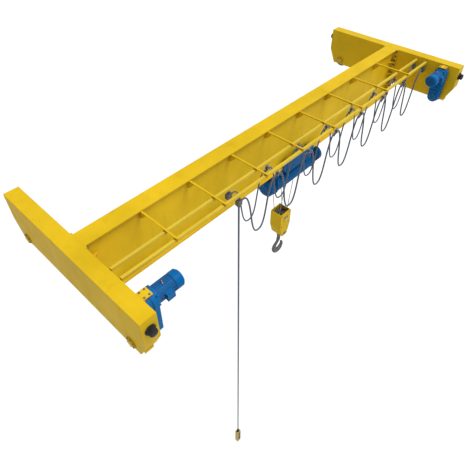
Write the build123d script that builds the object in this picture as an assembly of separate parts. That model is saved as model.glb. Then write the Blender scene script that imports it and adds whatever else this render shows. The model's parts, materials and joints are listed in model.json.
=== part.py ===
from build123d import *
import math
import os

# Overhead bridge crane with one box girder, two end carriages, an underslung rope hoist, two
# rails with looped cables beside the girder, and a hanging push-button pendant.
# Millimetres. X runs along the girder, Y along the runway, Z is up. The origin is at mid span,
# on the level of the runway rail heads, so the travel wheels stand on Z = 0.

# End carriages
SPAN = 7500.0
TOP_LEVEL = 745.0
CARRIAGE_LENGTH = 2820.0
CARRIAGE_WIDTH = 210.0
CARRIAGE_UNDERSIDE = 45.0
CARRIAGE_PLATE = 10.0
CARRIAGE_SLANT_START = 330.0
CARRIAGE_SLANT_RUN = 130.0
WHEEL_INSET = 280.0
WHEEL_DIAMETER = 250.0
WHEEL_FLANGE_HEIGHT = 17.0
WHEEL_FLANGE_WIDTH = 16.0
WHEEL_TREAD_WIDTH = 70.0
WHEEL_HUB_DIAMETER = 110.0
WHEEL_HUB_WIDTH = 130.0
WHEEL_HUB_TAPER = 6.0
WHEEL_WEB_THICKNESS = 42.0
WHEEL_RIM_DEPTH = 26.0
WHEEL_RIM_TAPER = 8.0
WHEEL_CHAMFER = 4.0
WHEEL_BAY_CLEARANCE = 6.0
AXLE_DIAMETER = 55.0
AXLE_CLEARANCE = 2.0
BEARING_DIAMETER = 150.0
BEARING_THICKNESS = 26.0
BEARING_RIM_WIDTH = 22.0
BEARING_RIM_HEIGHT = 14.0
BEARING_CAP_TAPER = 6.0
SWEEP_THICKNESS = 10.0
SWEEP_WIDTH = 120.0
SWEEP_CLEARANCE = 12.0
BUFFER_DIAMETER = 112.0
BUFFER_LENGTH = 75.0
BUFFER_BASE_THICKNESS = 10.0
BUFFER_BASE_MARGIN = 12.0
BUFFER_LEVEL = 560.0
# Shares of the radius and of the length, from the base plate outwards
BUFFER_OUTLINE = [(1.0, 0.42), (0.86, 0.48), (0.86, 0.56), (0.96, 0.62), (0.93, 0.84),
                  (0.79, 0.95), (0.57, 1.0)]

# Box girder
GIRDER_DEPTH = 1000.0
TOP_FLANGE_WIDTH = 260.0
TOP_FLANGE_THICKNESS = 16.0
LOWER_FLANGE_WIDTH = 300.0
LOWER_FLANGE_THICKNESS = 20.0
WEB_SPACING = 150.0
WEB_THICKNESS = 8.0
END_PLATE_THICKNESS = 20.0
END_PLATE_WIDTH = 330.0
END_RIB_LENGTH = 160.0
END_RIB_THICKNESS = 12.0
END_RIB_COUNT = 3
STOP_LENGTH = 60.0
STOP_HEIGHT = 70.0
STOP_INSET = 130.0
STOP_SLOPE = 20.0

# Travel drives, one on the inner side of each carriage
GEARBOX_DEPTH = 130.0
GEARBOX_LOW_RADIUS = 100.0
GEARBOX_HIGH_RADIUS = 112.0
GEARBOX_HEADROOM = 50.0
GEARBOX_RIM = 10.0
GEARBOX_RIM_WIDTH = 16.0
GEARBOX_COVER_DIAMETER = 130.0
GEARBOX_COVER_THICKNESS = 9.0
GEARBOX_RIB_THICKNESS = 8.0
GEARBOX_RIB_PLACES = [0.30, 0.45, 0.60]
TORQUE_LUG_WIDTH = 40.0
TORQUE_PLATE_THICKNESS = 14.0
TORQUE_PLATE_WIDTH = 130.0
TORQUE_PLATE_REACH = 130.0
TORQUE_PLATE_DROP = 20.0
MOTOR_DIAMETER = 220.0
MOTOR_LENGTH = 380.0
MOTOR_FIN_COUNT = 22
MOTOR_FIN_HEIGHT = 12.0
MOTOR_FIN_THICKNESS = 4.5
MOTOR_FIN_ROOT = 1.0
MOTOR_SHIELD_SHARE = 0.07
MOTOR_COWL_SHARE = 0.24
MOTOR_COWL_STEP = 2.0
# Shares of the motor's radius and of the cowl's length
MOTOR_COWL_OUTLINE = [(1.0, 0.75), (0.81, 0.96), (0.30, 1.0)]
TERMINAL_BOX_LENGTH = 100.0
TERMINAL_BOX_HEIGHT = 42.0

# Arms and cable rails
ARM_COUNT = 8
ARM_INSET = 780.0
ARM_SIZE = 28.0
ARM_WALL = 4.0
ARM_OVERHANG = 35.0
GUSSET_SIZE = 120.0
GUSSET_EDGE = 20.0
INNER_RAIL_OFFSET = 580.0
OUTER_RAIL_OFFSET = 770.0
RAIL_SIZE = 40.0
RAIL_WALL = 3.0
RAIL_SLOT = 16.0
RAIL_END_GAP = 30.0
CLIP_WIDTH = 26.0
CLIP_THICKNESS = 4.0
CLIP_HEIGHT = 28.0
FIT_GAP = 0.3

# Looped cables and what carries them
OUTER_LOOP_DEPTHS = [845.0, 865.0, 840.0, 875.0, 850.0, 835.0, 830.0]
INNER_LOOP_DEPTHS = [765.0, 755.0, 780.0, 785.0, 765.0, 775.0, 760.0]
LOOP_COUNT = len(OUTER_LOOP_DEPTHS)
LOOP_INSET = 115.0
PENDANT_X = -1700.0
OUTER_CABLE = 26.0
INNER_CABLE = 22.0
SADDLE_DROP = 96.0
SADDLE_HALF = 12.0
SADDLE_RADIUS = 75.0
SADDLE_THICKNESS = 5.0
SADDLE_WIDTH = 44.0
SADDLE_BEND = 60.0
STRAP_LENGTH = 30.0
STRAP_THICKNESS = 5.0
STRAP_HEADROOM = 8.0
STRAP_TOP = 6.0
ROLLER_DIAMETER = 22.0
ROLLER_SPACING = 44.0
ROLLER_PLAY = 1.5
STEM_THICKNESS = 8.0
STEM_MARGIN = 6.0
STEM_RISE = 4.0
CABLE_BOX_LENGTH = 84.0
CABLE_BOX_WIDTH = 62.0
CABLE_BOX_HEIGHT = 84.0
CABLE_BOX_SINK = 0.62
CABLE_BOX_ROUNDING = 8.0
GLAND_DIAMETER = 42.0
GLAND_LENGTH = 26.0
DROP_GLAND_DIAMETER = 50.0
BOX_JOINT = 5.0
BOX_HANGER_LENGTH = 40.0
BOX_HANGER_WIDTH = 28.0

# Pendant
PENDANT_CABLE = 28.0
PENDANT_LENGTH = 7400.0
BOOT_LENGTH = 130.0
BOOT_DIAMETER = 66.0
# Shares of the radius and of the length, from the cable downwards
BOOT_OUTLINE = [(0.56, 0), (0.62, 0.5), (1.0, 0.8), (1.0, 1.0)]
STATION_HEIGHT = 520.0
STATION_WIDTH = 116.0
STATION_DEPTH = 92.0
STATION_ROUNDING = 14.0
BUTTON_COUNT = 6
BUTTON_DIAMETER = 34.0
BUTTON_HEIGHT = 7.0
BUTTON_PITCH = 58.0
FIRST_BUTTON_DROP = 58.0
STOP_BUTTON_DIAMETER = 44.0
STOP_BUTTON_HEIGHT = 18.0
STOP_BUTTON_INSET = 62.0
# Shares of the radius and of the height, from the station outwards
STOP_BUTTON_OUTLINE = [(0.55, 0), (0.55, 0.4), (1.0, 0.45), (1.0, 0.75), (0.6, 1.0)]

# Trolley under the girder
TROLLEY_X = 450.0
TROLLEY_WHEEL_PITCH = 620.0
TROLLEY_WHEEL_DIAMETER = 120.0
TROLLEY_WHEEL_WIDTH = 52.0
TROLLEY_FLANGE_HEIGHT = 12.0
TROLLEY_FLANGE_WIDTH = 9.0
TROLLEY_TREAD_SLOPE = 2.0
TROLLEY_AXLE_DIAMETER = 40.0
TROLLEY_HUB_DIAMETER = 48.0
TROLLEY_HUB_RECESS = 8.0
TROLLEY_WHEEL_CHAMFER = 4.0
TROLLEY_EDGE_GAP = 2.0
TROLLEY_PLATE_LENGTH = 860.0
TROLLEY_PLATE_THICKNESS = 12.0
TROLLEY_PLATE_GAP = 22.0
TROLLEY_PLATE_RISE = 75.0
TROLLEY_PLATE_DROP = 110.0
TROLLEY_PLATE_TAPER = 95.0
TROLLEY_PLATE_ROUNDING = 30.0
TROLLEY_CAP_DIAMETER = 104.0
TROLLEY_CAP_THICKNESS = 12.0
# Shares of the radius and of the thickness
TROLLEY_CAP_OUTLINE = [(1.0, 0), (1.0, 0.6), (0.6, 1.0)]
CROSSBAR_DIAMETER = 50.0
CROSSBAR_DROP = 65.0
TROLLEY_DRIVE_WIDTH = 120.0
TROLLEY_DRIVE_HEIGHT = 170.0
TROLLEY_DRIVE_DEPTH = 90.0
TROLLEY_DRIVE_HEADROOM = 10.0
TROLLEY_DRIVE_ROUNDING = 18.0
TROLLEY_MOTOR_DIAMETER = 120.0
TROLLEY_MOTOR_LENGTH = 230.0
TROLLEY_MOTOR_GAP = 4.0
TROLLEY_FIN_COUNT = 16
TROLLEY_FIN_HEIGHT = 8.0

# Rope hoist
HANGER_SPACING = 130.0
HANGER_THICKNESS = 10.0
HANGER_HEIGHT = 150.0
HANGER_RISE = 35.0
DRUM_DIAMETER = 250.0
DRUM_LENGTH = 1090.0
DRUM_WALL = 18.0
DRUM_DROP = 345.0
DRUM_RIM_WIDTH = 14.0
DRUM_RIM_HEIGHT = 16.0
DRUM_PLATE_THICKNESS = 15.0
DRUM_PLATE_WIDTH = 360.0
COVER_RADIUS = 170.0
COVER_THICKNESS = 4.0
COVER_LOW_EDGE = 60.0
HOIST_GEARBOX_DIAMETER = 350.0
HOIST_GEARBOX_LENGTH = 170.0
# Shares of the radius and of the length, from the drum end plate outwards
HOIST_GEARBOX_OUTLINE = [(1.0, 0), (1.0, 0.13), (0.91, 0.14), (0.89, 0.62), (0.94, 0.64),
                         (0.94, 0.74), (0.77, 0.90), (0.60, 1.0)]
HOIST_RIB_COUNT = 8
HOIST_RIB_THICKNESS = 9.0
HOIST_RIB_HEIGHT = 22.0
HOIST_RIB_SHARE = 0.42
HOIST_MOTOR_DIAMETER = 290.0
HOIST_MOTOR_LENGTH = 280.0
HOIST_FIN_COUNT = 26
HOIST_FIN_HEIGHT = 14.0

# Ropes and hook block
BLOCK_SHIFT = -150.0
SHEAVE_LEVEL = -1632.0
SHEAVE_DIAMETER = 240.0
SHEAVE_RIM = 14.0
SHEAVE_WIDTH = 44.0
SHEAVE_SPACING = 92.0
SHEAVE_HUB_DIAMETER = 98.0
SHEAVE_HUB_REACH = 3.0
SHEAVE_HUB_TAPER = 6.0
SHEAVE_WEB_THICKNESS = 14.0
SHEAVE_RIM_DEPTH = 22.0
SHEAVE_RIM_TAPER = 8.0
SHEAVE_CHAMFER = 3.0
SHEAVE_MOUTH_SHARE = 0.5
SHEAVE_GROOVE_SHARE = 0.28
SHEAVE_AXLE = 60.0
SHEAVE_AXLE_REACH = 14.0
ROPE_DIAMETER = 14.0
ROPE_LEAD = 1.0
ANCHOR_OFFSET = 200.0
ANCHOR_WIDTH = 40.0
ANCHOR_RISE = 10.0
ANCHOR_THICKNESS = 24.0
ANCHOR_STRAP = 12.0
ANCHOR_SOCKET = 70.0
BLOCK_THICKNESS = 262.0
BLOCK_HALF_WIDTH = 152.0
BLOCK_RISE = 165.0
BLOCK_SHOULDER_DROP = 190.0
BLOCK_DROP = 470.0
BLOCK_FOOT_HALF = 84.0
BLOCK_ROUNDING = 42.0
BLOCK_MOUTH_HALF = 134.0
BLOCK_MOUTH_DEPTH = 60.0
CHEEK_THICKNESS = 16.0
CHEEK_BOSS_DIAMETER = 126.0
CHEEK_BOSS_HEIGHT = 8.0
GUARD_THICKNESS = 6.0
CROSSHEAD_WIDTH = 138.0
CROSSHEAD_HEIGHT = 96.0
CROSSHEAD_LIFT = 22.0
CROSSHEAD_ROUNDING = 22.0
TRUNNION_DIAMETER = 56.0
TRUNNION_REACH = 10.0

# Hook
SHANK_DIAMETER = 72.0
SHANK_CLEARANCE = 1.0
SHANK_RISE = 14.0
HOOK_NUT_DIAMETER = 112.0
HOOK_NUT_HEIGHT = 52.0
HOOK_COLLAR_DROP = 30.0
HOOK_COLLAR_MARGIN = 9.0
HOOK_COLLAR_LEVELS = [0, -22.0, -40.0, -64.0]
BOWL_DROP = 385.0
THROAT_RADIUS = 82.0
HOOK_FLATNESS = 0.76
NECK_RISE = 2.75
# The shoulder section, as shares of the throat radius, and how it leans
SHOULDER_SHIFT = -0.16
SHOULDER_DROP = 0.6
SHOULDER_LEAN = 23.0
# Sections from the neck to the tip: the angle round the bowl's centre, and the thickness as a
# share of the shank's
HOOK_SECTIONS = [(128.0, 1.06), (158.0, 1.26), (194.0, 1.47), (232.0, 1.60), (270.0, 1.60),
                 (306.0, 1.40), (340.0, 1.10), (370.0, 0.80), (392.0, 0.45)]

# Places worked out from the sizes above
carriage_x = SPAN / 2
inner_face = carriage_x - CARRIAGE_WIDTH / 2
wheel_y = CARRIAGE_LENGTH / 2 - WHEEL_INSET
wheel_z = WHEEL_DIAMETER / 2
drive_face = inner_face - BEARING_THICKNESS
motor_z = TOP_LEVEL - GEARBOX_HEADROOM - GEARBOX_HIGH_RADIUS
girder_half = inner_face - END_PLATE_THICKNESS
girder_bottom = TOP_LEVEL - GIRDER_DEPTH
flange_top = girder_bottom + LOWER_FLANGE_THICKNESS
flange_edge = LOWER_FLANGE_WIDTH / 2
web_face = WEB_SPACING / 2
arm_level = TOP_LEVEL - TOP_FLANGE_THICKNESS
rail_top = arm_level - ARM_SIZE
rail_bottom = rail_top - RAIL_SIZE
rail_half = inner_face - RAIL_END_GAP
roller_z = rail_bottom + RAIL_WALL + FIT_GAP + ROLLER_DIAMETER / 2
saddle_top = rail_bottom - SADDLE_DROP
loop_start = rail_half - LOOP_INSET
loop_pitch = (loop_start - PENDANT_X) / LOOP_COUNT
cable_box_low = saddle_top - CABLE_BOX_SINK * CABLE_BOX_HEIGHT
cable_box_high = cable_box_low + CABLE_BOX_HEIGHT
trolley_wheel_z = flange_top + FIT_GAP + TROLLEY_WHEEL_DIAMETER / 2
trolley_plate_y = flange_edge + TROLLEY_PLATE_GAP
crossbar_z = girder_bottom - CROSSBAR_DROP
hanger_top = crossbar_z + HANGER_RISE
hanger_bottom = hanger_top - HANGER_HEIGHT
drum_z = girder_bottom - DRUM_DROP
drum_left = TROLLEY_X - DRUM_LENGTH / 2
drum_right = TROLLEY_X + DRUM_LENGTH / 2
block_x = TROLLEY_X + BLOCK_SHIFT
sheave_radius = SHEAVE_DIAMETER / 2
block_foot = SHEAVE_LEVEL - BLOCK_DROP
crosshead_top = block_foot + CROSSHEAD_LIFT + CROSSHEAD_HEIGHT
bowl_z = block_foot - BOWL_DROP


def block(x0, x1, y0, y1, z0, z1):
    """A box between two values on each axis."""
    size = Box(abs(x1 - x0), abs(y1 - y0), abs(z1 - z0))
    return Pos((x0 + x1) / 2, (y0 + y1) / 2, (z0 + z1) / 2) * size


def rod_x(x0, x1, y, z, diameter):
    """A round bar along X."""
    return Pos((x0 + x1) / 2, y, z) * Rot(0, 90, 0) * Cylinder(diameter / 2, abs(x1 - x0))


def rod_y(y0, y1, x, z, diameter):
    """A round bar along Y."""
    return Pos(x, (y0 + y1) / 2, z) * Rot(90, 0, 0) * Cylinder(diameter / 2, abs(y1 - y0))


def rod_z(z0, z1, x, y, diameter):
    """A round bar along Z."""
    return Pos(x, y, (z0 + z1) / 2) * Cylinder(diameter / 2, abs(z1 - z0))


def turned(profile, origin, direction):
    """A turned piece from (radius, distance) points, about a line from the origin."""
    outline = Polyline([(radius, 0, along) for radius, along in profile], close=True)
    solid = revolve(make_face(outline), Axis.Z)
    return Plane(origin=origin, z_dir=direction) * solid


def scaled(outline, radius, length):
    """A turned outline given in shares, at full size."""
    return [(across * radius, along * length) for across, along in outline]


def plate_yz(outline, x0, x1):
    """A plate cut to a (y, z) outline, between two values of X."""
    face = make_face(Polyline([(x0, y, z) for y, z in outline], close=True))
    return extrude(face, abs(x1 - x0), dir=(math.copysign(1, x1 - x0), 0, 0))


def plate_xz(sketch, y0, y1):
    """A plate cut to a sketch of X and Z, between two values of Y."""
    face = Pos(0, y0, 0) * (Plane.XZ * sketch)
    return extrude(face, abs(y1 - y0), dir=(0, math.copysign(1, y1 - y0), 0))


def save(name, *shapes):
    """Writes the solids of one node."""
    solids = []
    for shape in shapes:
        solids.extend(shape.solids())
    whole = solids[0] if len(solids) == 1 else Compound(children=solids)
    export_step(whole, f"parts/{name}.step")


# End carriages

def carriage_outline(inset):
    """The side outline of a carriage, drawn in by an inset."""
    half = CARRIAGE_LENGTH / 2 - inset
    top = TOP_LEVEL - inset
    low = CARRIAGE_UNDERSIDE + inset
    foot = half - CARRIAGE_SLANT_RUN
    return [(-foot, low), (foot, low), (half, CARRIAGE_SLANT_START), (half, top), (-half, top),
            (-half, CARRIAGE_SLANT_START)]


def carriage_box(side):
    """A welded box with slanting lower ends, open below at the wheels, with rail sweeps."""
    half = CARRIAGE_WIDTH / 2
    inner = half - CARRIAGE_PLATE
    box = plate_yz(carriage_outline(0), -half, half)
    box -= plate_yz(carriage_outline(CARRIAGE_PLATE), -inner, inner)
    bay = WHEEL_DIAMETER / 2 + WHEEL_FLANGE_HEIGHT + WHEEL_BAY_CLEARANCE
    foot = CARRIAGE_LENGTH / 2 - CARRIAGE_SLANT_RUN
    for end in (-1, 1):
        middle = end * wheel_y
        box -= block(-inner, inner, middle - bay, middle + bay, 0,
                     CARRIAGE_UNDERSIDE + 2 * CARRIAGE_PLATE)
        box -= rod_x(-half, half, middle, wheel_z, AXLE_DIAMETER + 2 * AXLE_CLEARANCE)
        box += block(-SWEEP_WIDTH / 2, SWEEP_WIDTH / 2, end * foot, end * (foot + SWEEP_THICKNESS),
                     SWEEP_CLEARANCE, CARRIAGE_UNDERSIDE + CARRIAGE_PLATE)
    return Pos(side * carriage_x, 0, 0) * box


def travel_wheel(side, end):
    """A double-flanged wheel, hollowed beside its hub, on its axle."""
    tread = WHEEL_TREAD_WIDTH / 2
    rim = tread + WHEEL_FLANGE_WIDTH
    hub = WHEEL_HUB_WIDTH / 2
    reach = CARRIAGE_WIDTH / 2 + BEARING_THICKNESS / 2
    radius = WHEEL_DIAMETER / 2
    flange = radius + WHEEL_FLANGE_HEIGHT
    hub_radius = WHEEL_HUB_DIAMETER / 2
    web = WHEEL_WEB_THICKNESS / 2
    inside = radius - WHEEL_RIM_DEPTH
    half = [(0, reach), (AXLE_DIAMETER / 2, reach), (AXLE_DIAMETER / 2, hub), (hub_radius, hub),
            (hub_radius + WHEEL_HUB_TAPER, web), (inside, web), (inside + WHEEL_RIM_TAPER, rim),
            (flange - WHEEL_CHAMFER, rim), (flange, rim - WHEEL_CHAMFER), (radius, tread)]
    profile = half + [(r, -d) for r, d in reversed(half)]
    return turned(profile, (side * carriage_x, end * wheel_y, wheel_z), (1, 0, 0))


def wheel_bearing(side, end, out):
    """A bearing cap on one side plate of a carriage."""
    origin = (side * carriage_x + out * CARRIAGE_WIDTH / 2, end * wheel_y, wheel_z)
    radius = BEARING_DIAMETER / 2
    shaft = AXLE_DIAMETER / 2 + FIT_GAP
    cap = radius - BEARING_RIM_WIDTH
    profile = [(shaft, 0), (radius, 0), (radius, BEARING_RIM_HEIGHT), (cap, BEARING_RIM_HEIGHT),
               (cap - BEARING_CAP_TAPER, BEARING_THICKNESS), (0, BEARING_THICKNESS),
               (0, BEARING_THICKNESS / 2), (shaft, BEARING_THICKNESS / 2)]
    return turned(profile, origin, (out, 0, 0))


def buffer(side, end):
    """A ribbed round rubber buffer with a base plate, on one end of a carriage."""
    radius = BUFFER_DIAMETER / 2
    base = BUFFER_BASE_THICKNESS
    wide = radius + BUFFER_BASE_MARGIN
    profile = [(0, 0), (wide, 0), (wide, base), (radius, base)]
    profile += scaled(BUFFER_OUTLINE, radius, BUFFER_LENGTH) + [(0, BUFFER_LENGTH)]
    origin = (side * carriage_x, end * CARRIAGE_LENGTH / 2, BUFFER_LEVEL)
    return turned(profile, origin, (0, end, 0))


def gearbox_outline(grow):
    """The outline of a travel gearbox: a large circle at the wheel, a smaller one above."""
    low = Edge.make_circle(GEARBOX_LOW_RADIUS + grow)
    high = Pos(0, motor_z - wheel_z, 0) * Edge.make_circle(GEARBOX_HIGH_RADIUS + grow)
    return Pos(-wheel_y, wheel_z, 0) * make_hull([low, high])


def travel_gearbox(side):
    """A flat gearbox on the wheel axle, with a bolted rim, a cover and a torque lug."""
    def slab(grow, start, depth):
        face = Pos(side * start, 0, 0) * (Plane.YZ * gearbox_outline(grow))
        return extrude(face, depth, dir=(-side, 0, 0))
    case = slab(0, drive_face, GEARBOX_DEPTH)
    middle = drive_face - (GEARBOX_DEPTH - GEARBOX_RIM_WIDTH) / 2
    case += slab(GEARBOX_RIM, middle, GEARBOX_RIM_WIDTH)
    end = side * (drive_face - GEARBOX_DEPTH)
    case += rod_x(end, end - side * GEARBOX_COVER_THICKNESS, -wheel_y, wheel_z,
                  GEARBOX_COVER_DIAMETER)
    wide = GEARBOX_COVER_DIAMETER / 2
    thin = GEARBOX_RIB_THICKNESS / 2
    for share in GEARBOX_RIB_PLACES:
        z = wheel_z + share * (motor_z - wheel_z)
        case += block(end, end - side * GEARBOX_COVER_THICKNESS, -wheel_y - wide, -wheel_y + wide,
                      z - thin, z + thin)
    lug_top = TOP_LEVEL - TORQUE_PLATE_DROP - TORQUE_PLATE_THICKNESS - FIT_GAP
    x0 = side * (middle - GEARBOX_RIM_WIDTH)
    x1 = side * (middle + GEARBOX_RIM_WIDTH)
    half = TORQUE_LUG_WIDTH / 2
    case += block(x0, x1, -wheel_y - half, -wheel_y + half, motor_z, lug_top)
    return case


def finned_motor(x0, out, y, z, diameter, length, fins, fin_height, box_side):
    """A motor along X with cooling fins, end shields, a fan cowl and a terminal box."""
    radius = diameter / 2
    core = radius - fin_height
    cowl = length * MOTOR_COWL_SHARE
    shield = length * MOTOR_SHIELD_SHARE
    body = length - cowl
    profile = [(0, 0), (radius, 0), (radius, shield), (core, shield), (core, body - shield),
               (radius - MOTOR_COWL_STEP, body - shield), (radius, body)]
    profile += [(r, body + d) for r, d in scaled(MOTOR_COWL_OUTLINE, radius, cowl)]
    profile.append((0, length))
    motor = turned(profile, (x0, y, z), (out, 0, 0))
    middle = x0 + out * body / 2
    for n in range(fins):
        fin = Box(body - 2 * shield, MOTOR_FIN_THICKNESS, fin_height)
        fin = Pos(0, 0, (core + radius) / 2 - MOTOR_FIN_ROOT) * fin
        motor += Pos(middle, y, z) * Rot(360.0 * n / fins, 0, 0) * fin
    half = TERMINAL_BOX_LENGTH / 2
    lid = TERMINAL_BOX_HEIGHT
    box_y = y + box_side * (core + lid)
    motor += block(middle - half, middle + half, y, box_y, z - half, z + half)
    return motor


def travel_motor(side):
    """The motor of one carriage, at the top of its gearbox, pointing along the girder."""
    x0 = side * (drive_face - GEARBOX_DEPTH)
    return finned_motor(x0, -side, -wheel_y, motor_z, MOTOR_DIAMETER, MOTOR_LENGTH,
                        MOTOR_FIN_COUNT, MOTOR_FIN_HEIGHT, -1)


def torque_bracket(side):
    """The angle that keeps a gearbox from turning, welded to the inner side of the carriage."""
    high = TOP_LEVEL - TORQUE_PLATE_DROP
    low = high - TORQUE_PLATE_THICKNESS
    half = TORQUE_PLATE_WIDTH / 2
    x0 = side * inner_face
    x1 = side * (inner_face - TORQUE_PLATE_REACH)
    y = -wheel_y
    shape = block(x0, x1, y - half, y + half, low, high)
    web = TORQUE_PLATE_THICKNESS
    for end in (-1, 1):
        y0 = y + end * half
        shape += block(x0, side * drive_face, y0, y0 - end * web, motor_z, low)
    return shape


def build_carriages():
    """Both end carriages with their wheels, buffers and drives."""
    sides = (-1, 1)
    corners = [(side, end) for side in sides for end in sides]
    save("carriage_boxes", *[carriage_box(side) for side in sides])
    save("travel_wheels", *[travel_wheel(side, end) for side, end in corners])
    save("wheel_bearings",
         *[wheel_bearing(side, end, out) for side, end in corners for out in sides])
    save("buffers", *[buffer(side, end) for side, end in corners])
    save("travel_gearboxes", *[travel_gearbox(side) for side in sides])
    save("travel_motors", *[travel_motor(side) for side in sides])
    save("torque_brackets", *[torque_bracket(side) for side in sides])


# Girder

def end_plate(side):
    """The plate that joins the girder to a carriage, with ribs to the webs."""
    half = END_PLATE_WIDTH / 2
    plate = block(side * girder_half, side * inner_face, -half, half, girder_bottom, TOP_LEVEL)
    step = (arm_level - flange_top) / (END_RIB_COUNT + 1)
    for n in range(END_RIB_COUNT):
        z = flange_top + (n + 1) * step
        for sign in (-1, 1):
            corners = [(side * girder_half, sign * web_face), (side * girder_half, sign * half),
                       (side * (girder_half - END_RIB_LENGTH), sign * web_face)]
            outline = Polyline([(x, y, z) for x, y in corners], close=True)
            plate += extrude(make_face(outline), END_RIB_THICKNESS, dir=(0, 0, 1))
    return plate


def trolley_stop(side, sign):
    """A stop with a sloping back, on the lower flange."""
    x0 = side * (girder_half - STOP_INSET)
    x1 = x0 - side * STOP_LENGTH
    outline = [(x0, flange_top), (x1, flange_top), (x1, flange_top + STOP_HEIGHT),
               (x1 + side * STOP_SLOPE, flange_top + STOP_HEIGHT)]
    return plate_xz(make_face(Polyline(outline, close=True)), sign * web_face, sign * flange_edge)


def build_girder():
    """The welded box girder and the plates that join it to the carriages."""
    half = TOP_FLANGE_WIDTH / 2
    save("girder_top_flange",
         block(-girder_half, girder_half, -half, half, arm_level, TOP_LEVEL))
    save("girder_lower_flange",
         block(-girder_half, girder_half, -flange_edge, flange_edge, girder_bottom, flange_top))
    sides = (-1, 1)
    save("girder_webs",
         *[block(-girder_half, girder_half, sign * (web_face - WEB_THICKNESS), sign * web_face,
                 flange_top, arm_level) for sign in sides])
    save("girder_end_plates", *[end_plate(side) for side in sides])
    save("trolley_stops", *[trolley_stop(side, sign) for side in sides for sign in sides])


# Arms, rails, carriers and cables

def arm(x):
    """A tee-section arm with a gusset on the near web and clips beside both rails."""
    tip = -(OUTER_RAIL_OFFSET + ARM_OVERHANG)
    web = -web_face
    low = arm_level - ARM_SIZE
    shape = block(x - ARM_WALL / 2, x + ARM_WALL / 2, tip, web, low, arm_level)
    shape += block(x - ARM_SIZE / 2, x + ARM_SIZE / 2, tip, web, arm_level - ARM_WALL, arm_level)
    corner = [(web, low), (web, low - GUSSET_SIZE), (web - GUSSET_EDGE, low - GUSSET_SIZE),
              (web - GUSSET_SIZE, low - GUSSET_EDGE), (web - GUSSET_SIZE, low)]
    shape += plate_yz(corner, x - ARM_WALL / 2, x + ARM_WALL / 2)
    half = CLIP_WIDTH / 2
    for offset in (INNER_RAIL_OFFSET, OUTER_RAIL_OFFSET):
        reach = RAIL_SIZE / 2 + FIT_GAP
        shape += block(x - half, x + half, -offset - reach - CLIP_THICKNESS,
                       -offset + reach + CLIP_THICKNESS, low, low + CLIP_THICKNESS)
        for sign in (-1, 1):
            y0 = sign * reach - offset
            shape += block(x - half, x + half, y0, y0 + sign * CLIP_THICKNESS,
                           low - CLIP_HEIGHT, low + CLIP_THICKNESS)
    return shape


def cable_rail(offset):
    """A rail of C section, open below, with a plate welded over each end."""
    half = RAIL_SIZE / 2
    lip = RAIL_SLOT / 2
    w = RAIL_WALL
    outline = [(-half, rail_top), (half, rail_top), (half, rail_bottom), (lip, rail_bottom),
               (lip, rail_bottom + w), (half - w, rail_bottom + w), (half - w, rail_top - w),
               (w - half, rail_top - w), (w - half, rail_bottom + w), (-lip, rail_bottom + w),
               (-lip, rail_bottom), (-half, rail_bottom)]
    placed = [(y - offset, z) for y, z in outline]
    rail = plate_yz(placed, -rail_half, rail_half)
    for end in (-1, 1):
        rail += block(end * rail_half, end * (rail_half - w), -offset - half, -offset + half,
                      rail_bottom, rail_top)
    return rail


def roller_stem(x, y, low):
    """A stem with two pairs of rollers that runs in a cable rail."""
    inside = RAIL_SIZE / 2 - RAIL_WALL - ROLLER_PLAY
    half = ROLLER_SPACING / 2
    wide = half + STEM_MARGIN
    stem = block(x - wide, x + wide, y - STEM_THICKNESS / 2, y + STEM_THICKNESS / 2, low,
                 roller_z + STEM_RISE)
    for sign in (-1, 1):
        stem += rod_y(y - inside, y + inside, x + sign * half, roller_z, ROLLER_DIAMETER)
    return stem


def carrier(x, offset, cable):
    """A cable carrier: rollers in the rail, a stem, two straps and a curved saddle."""
    y = -offset
    seat = saddle_top - cable / 2 - FIT_GAP
    half = SADDLE_WIDTH / 2
    bridge = saddle_top + cable / 2 + STRAP_HEADROOM
    cap = bridge + STRAP_TOP
    strap = STRAP_LENGTH / 2
    shape = roller_stem(x, y, bridge)
    shape += block(x - strap, x + strap, y - half, y + half, bridge, cap)
    for sign in (-1, 1):
        shape += block(x - strap, x + strap, y + sign * half,
                       y + sign * (half - STRAP_THICKNESS), seat - SADDLE_THICKNESS, cap)
    shape += block(x - SADDLE_HALF, x + SADDLE_HALF, y - half, y + half,
                   seat - SADDLE_THICKNESS, seat)
    for sign in (-1, 1):
        edge = x + sign * SADDLE_HALF
        centre = seat - SADDLE_RADIUS
        ring = rod_y(y - half, y + half, edge, centre, 2 * SADDLE_RADIUS)
        ring -= rod_y(y - half, y + half, edge, centre, 2 * (SADDLE_RADIUS - SADDLE_THICKNESS))
        shape += ring & block(edge, edge + sign * SADDLE_BEND, y - half, y + half, centre, seat)
    return shape


def loop_points(offset, depths):
    """The route of one looped cable, from its right end to its left end."""
    side = [(0.15, 0.05), (0.225, 0.26), (0.27, 0.50), (0.31, 0.74), (0.36, 0.90),
            (0.43, 1.0)]
    y = -offset
    points = [(loop_start, y, saddle_top)]
    for n, depth in enumerate(depths):
        start = loop_start - n * loop_pitch
        points.append((start - 0.07 * loop_pitch, y, saddle_top))
        for along, down in side:
            points.append((start - along * loop_pitch, y, saddle_top - down * depth))
        for along, down in reversed(side):
            points.append((start - (1 - along) * loop_pitch, y, saddle_top - down * depth))
        points.append((start - 0.93 * loop_pitch, y, saddle_top))
    points.append((PENDANT_X, y, saddle_top))
    return points


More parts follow.
